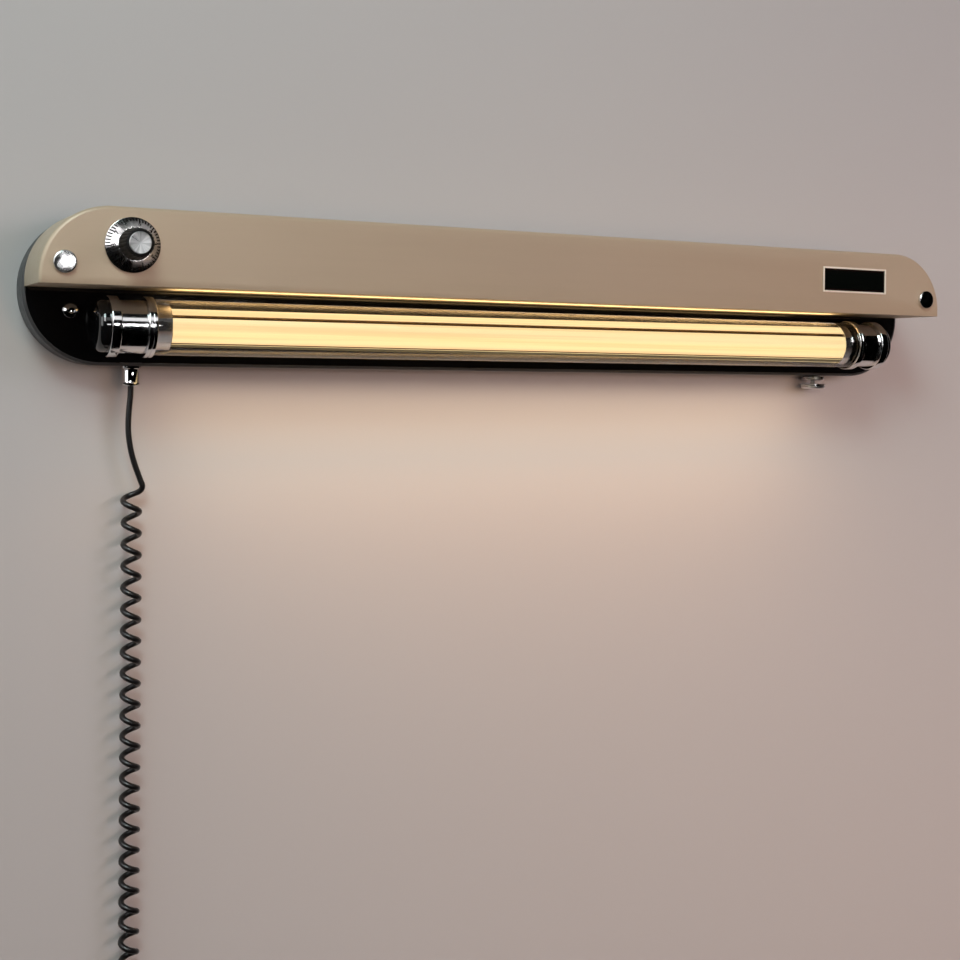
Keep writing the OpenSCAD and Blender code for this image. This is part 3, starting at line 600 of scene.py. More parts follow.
def box(name, low, high):
    """A block between two corners in millimetres."""
    middle = [(a + b) / 2 * MM for a, b in zip(low, high)]
    size = [(b - a) * MM for a, b in zip(low, high)]
    deselect()
    bpy.ops.mesh.primitive_cube_add(size=1, location=middle, scale=size)
    piece = settle(bpy.context.object)
    piece.name = name
    return piece


def flat_face(name, centre, turn, width, height):
    """A single rectangular face, turned about X or Y, with its sizes in metres."""
    deselect()
    bpy.ops.mesh.primitive_plane_add(size=1, location=centre, rotation=turn)
    piece = bpy.context.object
    piece.scale = (width, height, 1)
    piece.name = name
    return settle(piece)


def lamp(name, place, aim, size, power, colour, spread=180, lights=True, shows=True):
    """A soft rectangular lamp that may light surfaces and may show in polished ones."""
    data = bpy.data.lights.new(name, "AREA")
    data.shape = "RECTANGLE"
    data.size, data.size_y = size
    data.energy = power
    data.color = colour
    data.spread = math.radians(spread)
    item = bpy.data.objects.new(name, data)
    item.location = place
    item.rotation_euler = (Vector(aim) - Vector(place)).to_track_quat("-Z", "Y").to_euler()
    item.visible_camera = item.visible_transmission = False
    item.visible_diffuse = lights
    item.visible_glossy = shows
    bpy.context.scene.collection.objects.link(item)


def dress(material, nodes):
    """Gives CAD nodes that stay a better material."""
    for name in nodes:
        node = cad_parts[name]
        if node.material_slots:
            node.material_slots[0].material = material
        else:
            node.data.materials.append(material)


class LIGHT_OT_stage(bpy.types.Operator):
    """Sets up the pale wall and floor, the soft lamps and the camera."""

    bl_idname = "wall_light.stage"
    bl_label = "Stage and camera"

    def execute(self, context):
        self.camera(context)
        self.wall()
        self.lights(context)
        return {"FINISHED"}

    def camera(self, context):
        data = bpy.data.cameras.new("camera")
        data.sensor_width = 36
        data.lens = CAMERA_LENS
        data.shift_y = CAMERA_SHIFT
        data.clip_start = 0.05
        camera = bpy.data.objects.new("camera", data)
        level = Matrix.Rotation(-CAMERA_TURN, 4, "Z") @ Matrix.Rotation(QUARTER, 4, "X")
        rolled = level @ Matrix.Rotation(CAMERA_ROLL, 4, "Z")
        camera.matrix_world = Matrix.Translation(CAMERA_AT) @ rolled
        context.scene.collection.objects.link(camera)
        context.scene.camera = camera

    def wall(self):
        """A wall with a hole behind the light's back, and a floor that meets it in a round."""
        finish = Finish("pale_wall", (0.515, 0.5, 0.505), 0.9)
        finish.shade((1.5, 2), 0.97, 1.03).relief((350, 3), 0.05, 0.0003)
        clear = finish.add("ShaderNodeBsdfTransparent")
        facing = finish.add("ShaderNodeNewGeometry")
        mix = finish.add("ShaderNodeMixShader")
        finish.feed(mix, i0=facing.outputs["Backfacing"], i1=finish.shader.outputs[0],
                    i2=clear.outputs[0])
        finish.feed(finish.tree.nodes["Material Output"], Surface=mix.outputs[0])
        behind, floor_z, reach = 0.6 * MM, -1.3, 4.0
        sweep, near = 0.35, 0.01
        wall = flat_face("wall", (0, behind, floor_z + reach / 2), (QUARTER, 0, 0), 2 * reach, reach)
        edit(wall)
        pick(wall, "EDGE", lambda e: all(v.co.z < floor_z + near for v in e.verts))
        push(y=-reach)
        pick(wall, "EDGE", lambda e: all(abs(v.co.z - floor_z) + abs(v.co.y - behind) < near
                                         for v in e.verts))
        bpy.ops.mesh.bevel(offset=sweep, segments=16, affect="EDGES")
        bpy.ops.object.mode_set(mode="OBJECT")
        cut(wall, slab("hole", BASE_R - 6, -5, 5))
        bpy.ops.object.shade_smooth_by_angle(angle=math.radians(30))
        wall.data.materials.clear()
        wall.data.materials.append(finish.material)
        edit(wall)
        pick(wall, "FACE", lambda f: f.normal.y > -0.999)
        bpy.ops.mesh.separate(type="SELECTED")
        bpy.ops.object.mode_set(mode="OBJECT")
        floor = next(each for each in bpy.context.selected_objects if each != wall)
        floor.name = "floor_sweep"
        floor.visible_glossy = False

    def lights(self, context):
        """A dim room, lamps that light it, and lamps that only show in polished surfaces."""
        world = bpy.data.worlds.new("room")
        world.use_nodes = True
        room = world.node_tree.nodes["Background"].inputs
        room["Color"].default_value = (0.84, 0.79, 0.79, 1)
        room["Strength"].default_value = 0.03
        world.cycles_visibility.glossy = False
        context.scene.world = world
        context.scene.view_settings.view_transform = "Standard"
        white, middle = (1.0, 1.0, 1.0), (0, 0, -0.1)
        lamp("front", (0, -3.0, 0.2), (0, 0, 0), (3.0, 2.0), 17.5, (1.0, 0.62, 0.46), shows=False)
        lamp("top", (-1.1, -1.7, 1.8), (-0.4, 0, 0.3), (1.2, 0.8), 9.0, (0.8, 1.0, 0.98), 90)
        lamp("right", (1.9, -2.0, 0.5), (0.3, 0, -0.25), (1.2, 1.0), 7.2, (0.8, 0.75, 0.85), 100,
             shows=False)
        lamp("left", (-1.8, -0.5, 0.62), (0, -0.5, 0.62), (0.9, 1.3), 10.0, (0.8, 1.0, 1.0), shows=False)
        lamp("low", (0.9, -1.8, -0.2), (0.45, 0, -0.45), (1.2, 1.0), 1.6, (1.0, 0.62, 0.4), 60,
             shows=False)
        lamp("back", (0.9, 2.4, 0.9), (0, 0, -0.2), (2.0, 1.5), 45, white, 120, shows=False)
        lamp("side", (-1.6, -0.5, 1.13), (0, -0.5, 1.13), (0.9, 2.3), 13.3, white, lights=False)
        lamp("key", (-1.5, -2.6, 1.5), middle, (1.6, 1.0), 34, white, lights=False)
        lamp("band", (0.25, -1.75, 0.98), (0.1, 0, 0), (0.9, 0.5), 1.5, white, lights=False)
        lamp("spot", (-0.042, -1.55, 0.139), (-0.35, -0.09, 0.02), (0.22, 0.09), 1.3, white, lights=False)


def smooth_path(points, steps):
    """A smooth curve through points, with steps between neighbours."""
    path = []
    for i in range(len(points) - 1):
        a, b = points[max(i - 1, 0)], points[i]
        c, d = points[i + 1], points[min(i + 2, len(points) - 1)]
        for k in range(steps):
            u = k / steps
            path.append(0.5 * (2 * b + (c - a) * u + (2 * a - 5 * b + 4 * c - d) * u * u
                               + (3 * b - 3 * c + d - a) * u ** 3))
    return path + [points[-1]]


def around(turns, radius):
    """A point on a circle after a number of turns, as its two coordinates."""
    return radius * math.cos(2 * math.pi * turns), radius * math.sin(2 * math.pi * turns)


def cord_route(width):
    """The whole centreline of the cord: lead, curls, and the coil of spare length."""
    lead = [Vector(p) for p in LEAD_ROUTE]
    slope = width * (lead[-1] - lead[-2]).normalized()
    lead_end = lead[-1] + slope
    axis = lead[-1] + Vector(AXIS_SHIFT)
    curls = []
    for i in range(CURL_STEPS // 8, CURLS * CURL_STEPS + 1):
        turns = i / CURL_STEPS
        drop = PITCH_TOP * turns - (PITCH_TOP - PITCH_END) / (2 * CURLS) * turns * turns
        x, y = around(turns, CURL_R + FIRST_FLARE * max(0, 1 - turns) ** 2)
        curls.append(axis + Vector((CURL_LEAN * turns / CURLS + x, y, -drop)))
    end = Vector((axis.x + CURL_LEAN, axis.y, curls[-1].z))
    leave = end + BELOW_CURLS * DOWN
    into_curls = [lead_end, lead_end + slope, axis + Vector((7.2, 1.6, 0.1)), curls[0]]
    out_of_curls = [curls[-1], end + Vector((4.2, 2.6, -3.4)), end + Vector((1.4, 1.6, -7.4)),
                    leave + width * UP, leave, leave + width * DOWN, leave + Vector((0, 1, -12)),
                    leave + Vector((0.2, 3.6, -22)), leave + Vector((0.3, 7, -32))]
    middle = Vector((leave.x - COIL_R, COIL_BACK, leave.z - COIL_DROP))
    coil = []
    for i in range(COIL_TURNS * COIL_STEPS + 1):
        x, z = around(i / COIL_STEPS, COIL_R)
        coil.append(middle + Vector((x, -COIL_PITCH * i / COIL_STEPS, -z)))
    into_coil = [out_of_curls[-1], middle + Vector((COIL_R + 0.2, 0.4, 9)), coil[0]]
    last = coil[-1] + COIL_TAIL * DOWN
    out_of_coil = [coil[-1], last + 12 * UP, last + width * UP, last]
    path = smooth_path(lead + [lead_end], 3)[:-1] + smooth_path(into_curls, 5)[:-1]
    path += curls[:-1] + smooth_path(out_of_curls, 5)[:-1] + smooth_path(into_coil, 6)[:-1]
    return path + coil[:-1] + smooth_path(out_of_coil, 4)


class LIGHT_OT_cord(bpy.types.Operator):
    """Makes the curly cord, its coil of spare length, the tie and the plug."""

    bl_idname = "wall_light.cord"
    bl_label = "Cord and plug"

    def execute(self, context):
        sizes, colours = context.scene.light_sizes, context.scene.light_colours
        route = cord_route(sizes.cord_width / MM)
        data = bpy.data.curves.new("cord", "CURVE")
        data.dimensions = "3D"
        data.bevel_depth = sizes.cord_width / 2
        data.bevel_resolution = 3
        data.use_fill_caps = True
        line = data.splines.new("POLY")
        line.points.add(len(route) - 1)
        for point, place in zip(line.points, route):
            point.co = (*(place * MM), 1)
        cord = bpy.data.objects.new("cord", data)
        context.scene.collection.objects.link(cord)
        data.materials.append(cord_sheath(colours))
        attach(cord, "root")
        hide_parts("cord_lead", "cord_curls", "cord_coil")
        self.tie()
        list(self.plug(colours))
        return {"FINISHED"}

    def tie(self):
        """A woven strap with its end folded over."""
        band, wall, corner = Extent("coil_tie"), 1.0, 2.2
        piece = flat_face("strap", band.centre, (0, QUARTER, 0), band.tall * MM, band.deep * MM)
        edit(piece)
        pick_all()
        bpy.ops.mesh.bevel(offset=corner * MM, segments=6, affect="VERTICES")
        pick_all()
        bpy.ops.transform.translate(value=(-band.wide / 2 * MM, 0, 0))
        push(x=band.wide * MM)
        pick(piece, "FACE", lambda f: abs(f.normal.x) > 0.9)
        bpy.ops.mesh.delete(type="FACE")
        closed(piece)
        modify(piece, "SOLIDIFY", thickness=wall * MM, offset=-1)
        tail = box("tail", (band.x0 + 0.6, band.y0 - 0.6, band.z0 + 0.9),
                   (band.x1 - 0.6, band.y0 + 0.1, band.z1 - 0.4))
        piece = joined("coil_strap", [soften(piece, 0.2), soften(tail, 0.25)])
        finish = Finish("strap_weave", (0.012, 0.012, 0.013), 0.85)
        wave = finish.math("SINE", finish.math("MULTIPLY", finish.noise(900, 1, (0.3, 1, 1)), 40))
        finish.shade(wave, 0.7, 1.5).relief(wave, 0.5, 0.0001)
        return finished(piece, finish.material, "coil_tie")

    def plug(self, colours):
        """The ribbed boot, the flat body with its grip and the two pins."""
        boot = Extent("plug_boot")
        ribs, widest, narrowing = 6, 4.8, 1.8
        step, outline = boot.tall / ribs, [(0, 0)]
        for i in range(ribs):
            outline += profile(widest - narrowing * i / (ribs - 1), i * step, (0.5, 0), (0, 0.5),
                               (0, step * 0.5), (0.4, step * 0.66), (0.9, step * 0.7),
                               (0.9, step * 0.97))
        outline += [(2.5, boot.tall - 0.2), (0, boot.tall)]
        centre = Vector((boot.centre.x, boot.centre.y, boot.z0 * MM))
        piece = upright("plug_relief", outline, 48, centre)
        rubber = moulded("rubber_black", (0.008, 0.008, 0.0085), 0.5, 700)
        finished(soften(piece, 0.15, 2), rubber, "plug_boot")
        return piece, self.body(centre), self.pins(colours, centre)

    def body(self, centre):
        """The flat body, drawn in to a waist of grip ridges."""
        case, sides = Extent("plug_body"), 64
        thick, wide, tall = case.deep / 2, case.wide / 2, case.tall
        piece = ring_of("plug_case", sides, thick, (centre.x, centre.y, case.z0 * MM),
                        (0, 0, math.pi / sides))
        pull_apart(piece, wide - thick)
        rings = [(wide - narrower, thick - thinner, h) for narrower, thinner, h in PLUG_RINGS]
        loft(rings + [(6.4, 5.6, tall - 1), (5.6, 5.0, tall)], (centre.x, centre.y, 0))
        soften(settle(closed(piece)), 0.5, 3, 40)
        plastic = moulded("plug_plastic", (0.009, 0.009, 0.0095), 0.32)
        return finished(piece, plastic, "plug_body", smooth=40)

    def pins(self, colours, centre):
        """Two pins with round tips, sleeved near the body."""
        pair, sleeve = Extent("plug_pins"), 10.0
        radius, tall = pair.deep / 2, pair.tall
        spacing = (pair.wide - 2 * radius) * MM
        metal = chrome(colours, "plug_nickel", 0.16)
        coat = moulded("pin_sleeve", (0.01, 0.01, 0.01), 0.4)
        outline = [(0, 0), (radius - 0.1, 0), (radius - 0.1, sleeve), (radius, sleeve + 0.15)]
        outline += arc(0, tall - radius, radius, 0, 80, 8) + [(0, tall)]
        first = turned("pin", outline, 48)
        first.data.materials.append(metal)
        first.data.materials.append(coat)
        for face in first.data.polygons:
            if all(first.data.vertices[v].co.z < (sleeve + 0.1) * MM for v in face.vertices):
                face.material_index = 1
        stand(first, (centre.x + spacing / 2, centre.y, pair.z1 * MM), DOWN)
        second = copied(first, Matrix.Translation((-spacing, 0, 0)))
        return finished(joined("plug_pin_pair", [first, second]), metal, "plug_pins")


class LIGHT_OT_base(bpy.types.Operator):
    """Makes the tray, the gloss front plate and its two screws."""

    bl_idname = "wall_light.base"
    bl_label = "Base"

    def execute(self, context):
        colours = context.scene.light_colours
        self.tray(context.scene.light_sizes, colours)
        plate = Extent("face_plate")
        piece = slab("front_plate", plate.z1, -plate.y1, BASE_OUT)
        finished(soften(piece, 0.3), gloss_black(colours), "face_plate")
        self.screws(colours)
        return {"FINISHED"}

    def tray(self, sizes, colours):
        rim, back, front = 2.2 * MM, 2.0 * MM, -BASE_OUT * MM
        tray = slab("tray", BASE_R, 0, BASE_OUT)
        edit(tray)
        pick(tray, "FACE", lambda f: f.normal.y < -0.9)
        bpy.ops.mesh.inset(thickness=rim, depth=0)
        push(y=-front - back)
        inner = (BASE_R - 1) * MM
        pick(tray, "EDGE", lambda e: all(abs(v.co.y - front) < 1e-6 for v in e.verts)
             and all(math.hypot(max(0, abs(v.co.x) - REACH * MM), v.co.z) > inner for v in e.verts))
        bpy.ops.mesh.bevel(offset=sizes.rim_round * 0.98, segments=8, affect="EDGES")
        closed(tray)
        for x in (-WALL_HOLE_X, WALL_HOLE_X):
            drill(tray, WALL_HOLE_R, 12, (x * MM, 0, 0), (QUARTER, 0, 0))
        finished(tray, powder_grey(colours), "base_tray")

    def screws(self, colours):
        """Dome heads with a hexagon socket."""
        place = Extent("face_screws")
        head, rise, shank, long, socket = 6.0, 3.6, 2.0, 12, 2.3
        dome = (head * head + rise * rise) / (2 * rise)
        edge = math.degrees(math.asin((dome - rise) / dome))
        outline = [(0, -long), (shank, -long), (shank, 0), (head - 0.2, 0)]
        outline += arc(0, rise - dome, dome, edge + 2, 84, 14) + [(0, rise)]
        screw = turned("plate_screws", outline, 96)
        drill(screw, socket, 4, (0, 0, (rise + 0.2) * MM), sides=6)
        stand(soften(screw, 0.12, 2, 40), ((place.x1 - head) * MM, -BASE_OUT * MM, place.centre.z), OUT)
        finished(both_ends(screw), chrome(colours, "screw_chrome", 0.08), "face_screws")


class LIGHT_OT_hood(bpy.types.Operator):
    """Makes the hood, its underside and the two chrome caps."""

    bl_idname = "wall_light.hood"
    bl_label = "Hood"

    def execute(self, context):
        sizes, colours = context.scene.light_sizes, context.scene.light_colours
        self.shell(sizes, colours)
        self.underside(sizes.sheet / MM, colours)
        self.caps(colours)
        return {"FINISHED"}

    def shell(self, sizes, colours):
        """The bent sheet, open at the back and below, with the display's window."""
        front, window = -HOOD_OUT * MM, Extent("display_window")
        play, outside, inside = 0.2, 3, 5
        hood = slab("hood_shell", HOOD_CORNER, BASE_OUT, HOOD_OUT, HOOD.x1 - HOOD_CORNER, 2 * SIDES)
        edit(hood)
        pick(hood, "VERT", lambda v: v.co.z > 0)
        bpy.ops.transform.translate(value=(0, 0, (HOOD.z1 - HOOD_CORNER) * MM))
        pick_all()
        bpy.ops.mesh.bisect(plane_co=(0, 0, 0), plane_no=(0, 0, 1), use_fill=False, clear_inner=True)
        pick(hood, "FACE", lambda f: f.normal.y > 0.9)
        bpy.ops.mesh.delete(type="FACE")
        pick(hood, "EDGE", lambda e: all(abs(v.co.y - front) < 1e-6 for v in e.verts)
             and not all(v.co.z < 1e-6 for v in e.verts))
        bpy.ops.mesh.bevel(offset=sizes.hood_round, segments=10, affect="EDGES")
        modify(closed(hood), "SOLIDIFY", thickness=sizes.sheet, offset=-1, use_even_offset=True)
        cut(hood, box("window", (window.x0 - play, -HOOD_OUT - outside, window.z0 - play),
                      (window.x1 + play, -HOOD_OUT + inside, window.z1 + play)))
        finished(soften(hood, 0.18, 2, 50), champagne(colours), "hood")

    def underside(self, sheet, colours):
        """A flat sheet with a lip that stands up behind the hood's front."""
        floor = Extent("hood_underside")
        lip = (floor.y0 + sheet) * MM
        piece = box("hood_floor", floor.corners[0], (floor.x1, floor.y1, floor.z0 + sheet))
        edit(piece, "FACE")
        pick_all()
        bpy.ops.mesh.bisect(plane_co=(0, lip, 0), plane_no=(0, 1, 0))
        pick(piece, "FACE", lambda f: f.normal.z > 0.9 and f.calc_center_median().y < lip)
        push(z=(floor.tall - sheet) * MM)
        soften(closed(piece), 0.3)
        finished(piece, underside_champagne(colours), "hood_underside")

    def caps(self, colours):
        """Two cap nuts with studs into the hood."""
        cap, edge, stud, deep = Extent("hood_caps"), 1.2, 2, 11.5
        radius, tall = cap.tall / 2, -cap.y0 - HOOD_OUT
        outline = [(0, -deep), (stud, -deep), (stud, 0), (radius - 0.3, 0), (radius, 0.3)]
        outline += arc(radius - edge, tall - edge, edge, 0, 90) + [(0, tall + 0.1)]
        piece = turned("hood_cap_nuts", outline, 96)
        stand(piece, ((cap.x1 - radius) * MM, -HOOD_OUT * MM, cap.centre.z), OUT)
        finished(both_ends(piece), chrome(colours, "cap_chrome", 0.14), "hood_caps")


class LIGHT_OT_dimmer(bpy.types.Operator):
    """Makes the graduated dial, its numbers, the fluted knob and the bright disc."""

    bl_idname = "wall_light.dimmer"
    bl_label = "Dimmer"

    def execute(self, context):
        sizes = context.scene.light_sizes
        self.skirt(sizes)
        self.knob(sizes.flutes)
        disc = Extent("knob_insert")
        radius, tall = disc.wide / 2, disc.deep
        outline = [(0, 0), (radius, 0)] + profile(radius, tall, (0, -0.3), (0.35, 0), (0.9, -0.12))
        outline += profile(0, tall, (-1.2, -0.2), (-0.5, -0.3), (0, -0.3))
        finished(on_dial("knob_disc", outline, 128, disc.y1),
                 spun("insert_aluminium", (0.74, 0.72, 0.72), 0.38, 0.3, 0),
                 "knob_insert", "dial", 20)
        return {"FINISHED"}

    def skirt(self, sizes):
        """A hollow cone, ticked all round its rim, with plain numbers above the ticks."""
        rim, tall = DIAL.wide / 2, DIAL.deep
        bore, top, sheet, ledge, bevel = 8.0, 11.8, 1.6, 1.3, 0.4
        outline = [(bore, tall - sheet), (top - 0.6 * sheet, tall - sheet), (rim - sheet, 0),
                   (rim - 0.12, 0), (rim, 0.12), (rim, ledge - bevel), (rim - 0.12, ledge - 0.14),
                   (rim - bevel, ledge), (top, tall), (bore, tall)]
        finished(on_dial("dial_cone", outline, 192, DIAL.y1),
                 spun("dial_silver", (0.8, 0.78, 0.78), 0.16, 0.35, 30000),
                 "dial_skirt", "dial", 25)
        fall = (tall - ledge) / (rim - bevel - top)
        slope = math.atan(fall)
        count = round(2 * math.pi / sizes.tick_step)
        every = count // sizes.dial_numbers
        half = sizes.dial_numbers // 2
        start, outer, number_r = math.radians(13.2), rim - bevel, 14.4
        marks = []
        for i in range(count):
            inner = rim - (3.2 if i % every else 3.9)
            reach, middle = (outer - inner) / 2 / math.cos(slope), (outer + inner) / 2
            tick = box("tick", (-reach, -0.45, -0.03), (reach, 0.45, 0.05))
            height = tall - fall * (middle - top)
            marks.append(self.laid(tick, middle, height, slope, start + i * sizes.tick_step))
        for i in range(sizes.dial_numbers):
            number = self.number(str((half - i) % sizes.dial_numbers))
            angle = start + i * every * sizes.tick_step
            marks.append(self.laid(number, number_r, tall - fall * (number_r - top), slope, angle))
        ink = moulded("dial_ink", (0.004, 0.004, 0.004), 0.8, 2000, **{"Specular IOR Level": 0.08})
        finished(joined("dial_marks", marks), ink, None, "dial")

    def laid(self, mark, middle, height, slope, angle):
        """Tilts a mark on to the cone and turns it to its place on the dial."""
        tilt = Matrix.Rotation(slope, 4, "Y")
        there = Matrix.Translation((middle * MM, 0, height * MM))
        about = Matrix.Rotation(QUARTER - angle, 4, "Z")
        to_wall = OUT.to_track_quat("Z", "Y").to_matrix().to_4x4()
        seat = Matrix.Translation(DIAL_AT + Vector((0, DIAL.y1 * MM, 0)))
        mark.data.transform(seat @ to_wall @ about @ there @ tilt)
        return mark

    def number(self, text):
        """A plain number that stands with its head outwards."""
        deselect()
        bpy.ops.object.text_add()
        letters = bpy.context.object.data
        letters.body = text
        letters.size = 5.2 * MM
        letters.align_x = letters.align_y = "CENTER"
        letters.extrude = 0.03 * MM
        letters.offset = 0.12 * MM
        bpy.ops.object.convert(target="MESH")
        bpy.context.object.data.transform(Matrix.Rotation(-QUARTER, 4, "Z"))
        return bpy.context.object

    def knob(self, flutes):
        """A narrowing knob, whose flutes are columns of vertices moved in."""
        body = Extent("knob_body")
        foot, tall, columns = body.wide / 2, body.deep, 8
        top, sunk = foot - 1.5, tall - 0.8
        seat, spigot, step = 7.7, 7.9, 2.0
        outline = [(0, 0), (spigot, 0), (spigot, step)]
        outline += profile(foot, step, (0.2, 0), (0, 0.2), (0, 1.2), (0.1, 1.9))
        outline += profile(top, tall, (0, -0.9), (0.25, -0.3), (0.8, 0))
        outline += [(seat, tall), (seat, sunk), (0, sunk)]
        knob = turned("knob_case", outline, flutes * columns)
        edit(knob)
        for offsets, depth in (((0,), 0.5), ((-1, 1), 0.3)):
            pick(knob, "VERT", lambda v: v.co.z > (step + 1.5) * MM
                 and v.co.xy.length > (top - 0.6) * MM
                 and self.column(v, flutes, columns) in offsets)
            share = 1 - depth / foot
            bpy.ops.transform.resize(value=(share, share, 1), center_override=(0, 0, 0))
        stand(closed(knob), DIAL_AT + Vector((0, body.y1 * MM, 0)), OUT)
        satin = moulded("knob_black", (0.005, 0.004, 0.004), 0.5, 1500, **{"Specular IOR Level": 0.2})
        finished(knob, satin, "knob_body", "dial", 40)

    def column(self, vertex, flutes, columns):
        """How many columns of vertices a vertex lies from the nearest flute's middle."""
        turn = math.atan2(vertex.co.y, vertex.co.x) / (2 * math.pi) * flutes * columns
        return (round(turn) + columns // 2) % columns - columns // 2


class LIGHT_OT_display(bpy.types.Operator):
    """Makes the blank display's pane and its bezel."""

    bl_idname = "wall_light.display"
    bl_label = "Display"

    def execute(self, context):
        window, rim, width = Extent("display_window"), Extent("display_bezel"), 1.5
        pane = soften(box("display_pane", *window.corners), 0.15)
        finished(pane, display_glass(window), "display_window")
        back = (rim.centre.x, rim.y1 * MM, rim.centre.z)
        bezel = flat_face("display_frame", back, (QUARTER, 0, 0), rim.wide * MM, rim.tall * MM)
        edit(bezel, "FACE")
        pick_all()
        bpy.ops.mesh.inset(thickness=width * MM)
        bpy.ops.mesh.delete(type="FACE")
        pick_all()
        push(y=-rim.deep * MM)
        soften(closed(bezel), 0.22)
        paint = Finish("bezel_champagne", (0.85, 0.78, 0.68), 0.42)
        paint.shade((300, 3), 0.92, 1.06).gloss((200, 2), 0.34, 0.46)
        finished(bezel, paint.material, "display_bezel")
        return {"FINISHED"}


class LIGHT_OT_tube(bpy.types.Operator):
    """Makes the clear tube, its lit core, the tie rods and the ferrules, and the tube's light."""

    bl_idname = "wall_light.tube"
    bl_label = "Tube"

    def execute(self, context):
        colours = context.scene.light_colours
        radius, end, core_end = TUBE.tall / 2, TUBE.x1, Extent("diffuser").x1
        seat = Extent("ferrules").tall / 2
        core, edge, bond = 9.0, 0.4, 0.2
        outline = [(seat - bond, -end), (radius - edge, -end), (radius, -end + edge),
                   (radius, end - edge), (radius - edge, end), (seat - bond, end),
                   (seat - bond, core_end), (core - bond, core_end), (core - bond, -core_end),
                   (seat - bond, -core_end)]
        finished(on_tube("clear_wall", outline, 256), clear_wall(), "clear_tube")
        glow = on_tube("glowing_core", bar(core, core_end), 192)
        finished(glow, lit_core(colours), "diffuser")
        self.rods(core, core_end)
        outline = [(0, core_end), (seat - 0.3, core_end), (seat, core_end + 0.3), (seat, end), (0, end)]
        ferrule = both_ends(on_tube("core_ferrules", outline, 160))
        finished(ferrule, chrome(colours, "ferrule_chrome", 0.1), "ferrules")
        self.shine()
        return {"FINISHED"}

    def shine(self):
        """The tube's light: on the hood above it, and past the tray's rim on the wall below."""
        out, above, hood = TUBE_AT[1], TUBE_AT[2] + 21 * MM, 0.2
        wide, narrow = (0.6, 10 * MM), (0.6, 4 * MM)
        lamp("glow_up", (0, out, above), (0, out, hood), wide, 0.22, (1.0, 0.78, 0.42), shows=False)
        lamp("glow_wall", (0, -0.07, -0.03), (0, 0, -0.15), narrow, 0.43, (1.0, 0.35, 0.02), 140,
             shows=False)
        lamp("glow_edge", (0, -0.05, -0.058), (0, -0.05, -0.3), narrow, 0.32, (1.0, 0.78, 0.53), 170,
             shows=False)

    def rods(self, core, core_end):
        """A thick rod above the core and a thin one below, sunk a little into it."""
        sunk, pieces = 0.3, []
        for angle, radius in ((43, 1.9), (-68, 0.5)):
            out, up = around(angle / 360, core - radius + sunk)
            place = (0, -(TUBE_OUT + out) * MM, (TUBE_UP + up) * MM)
            pieces.append(stand(turned("tie_rod", bar(radius, core_end), 32), place, ALONG))
        brown = Finish("rod_brown", (0.16, 0.085, 0.03), 0.45, 0.3)
        brown.shade((40, 3, (0.1, 1, 1)), 0.8, 1.2).gloss((200, 2), 0.4, 0.5)
        finished(joined("tie_rod_pair", pieces), brown.material, "core_rods")


class LIGHT_OT_holders(bpy.types.Operator):
    """Makes the collars, holder bodies, flanges, end domes and feet of the tube's holders."""

    bl_idname = "wall_light.holders"
    bl_label = "Holders"

    def execute(self, context):
        colours = context.scene.light_colours
        plating = chrome(colours, "holder_chrome", 0.1)
        collar_box, holder_box = Extent("tube_collars"), Extent("holder_bodies")
        outer, body = collar_box.tall / 2, holder_box.tall / 2
        overlap, tube, wire, lip = 5, 20.05, 8, 0.5
        start, collar_end, body_end = TUBE.x1 - overlap, collar_box.x1, holder_box.x1
        flange_end, dome_end = Extent("outer_flanges").x1, Extent("end_domes").x1
        middle = (start + collar_end) / 2
        collar = [(tube, start), (outer - lip, start)] + arc(outer - lip, start + lip, lip, -90, 0, 4)
        collar += profile(outer, middle, (0, -0.5), (0.12, -0.4), (0.6, -0.4), (0.6, 0.4),
                          (0.12, 0.4), (0, 0.5))
        collar += arc(outer - lip, collar_end - lip, lip, 0, 90, 4)
        collar += [(wire, collar_end), (wire, collar_end - 1), (tube, collar_end - 1)]
        self.ring("end_collars", collar, plating, "tube_collars")
        sleeve = [(wire, collar_end)] + profile(body, collar_end, (0.3, 0), (0, 0.3))
        sleeve += profile(body, body_end, (0, -0.3), (0.3, 0)) + [(wire, body_end)]
        self.ring("holder_sleeves", sleeve, plating, "holder_bodies")
        lip = 0.8
        flange = [(0, body_end)] + arc(outer - lip, body_end + lip, lip, -90, 0)
        flange += arc(outer - lip, flange_end - lip, lip, 0, 90) + [(0, flange_end)]
        self.ring("outer_rings", flange, plating, "outer_flanges")
        corner, cap = 5.0, body - 0.5
        dome = [(0, flange_end), (cap, flange_end), (cap, dome_end - corner)]
        dome += arc(cap - corner, dome_end - corner, corner, 0, 86, 12)
        dome += [(cap * 0.5, dome_end + 0.25), (cap * 0.2, dome_end + 0.35), (0, dome_end + 0.35)]
        self.ring("end_caps", dome, gloss_black(colours, "dome_black", 0.05), "end_domes", "gloss_black")
        self.feet(colours, body)
        return {"FINISHED"}

    def ring(self, name, outline, material, node, slot="chrome"):
        finished(both_ends(on_tube(name, outline, 192)), material, node, smooth=28)

    def feet(self, colours, body):
        """Blocks on the plate whose saddles hold the holder bodies."""
        place, wide, play = Extent("holder_feet"), 15, 0.05
        foot = box("saddle_feet", (place.x1 - wide, place.y0, place.z0), place.corners[1])
        centre = (place.x1 * MM, -TUBE_OUT * MM, TUBE_UP * MM)
        drill(foot, body + play, 60, centre, (0, QUARTER, 0), 192)
        soften(foot, 0.4)
        finished(both_ends(foot), gloss_black(colours, "foot_black", 0.12), "holder_feet")


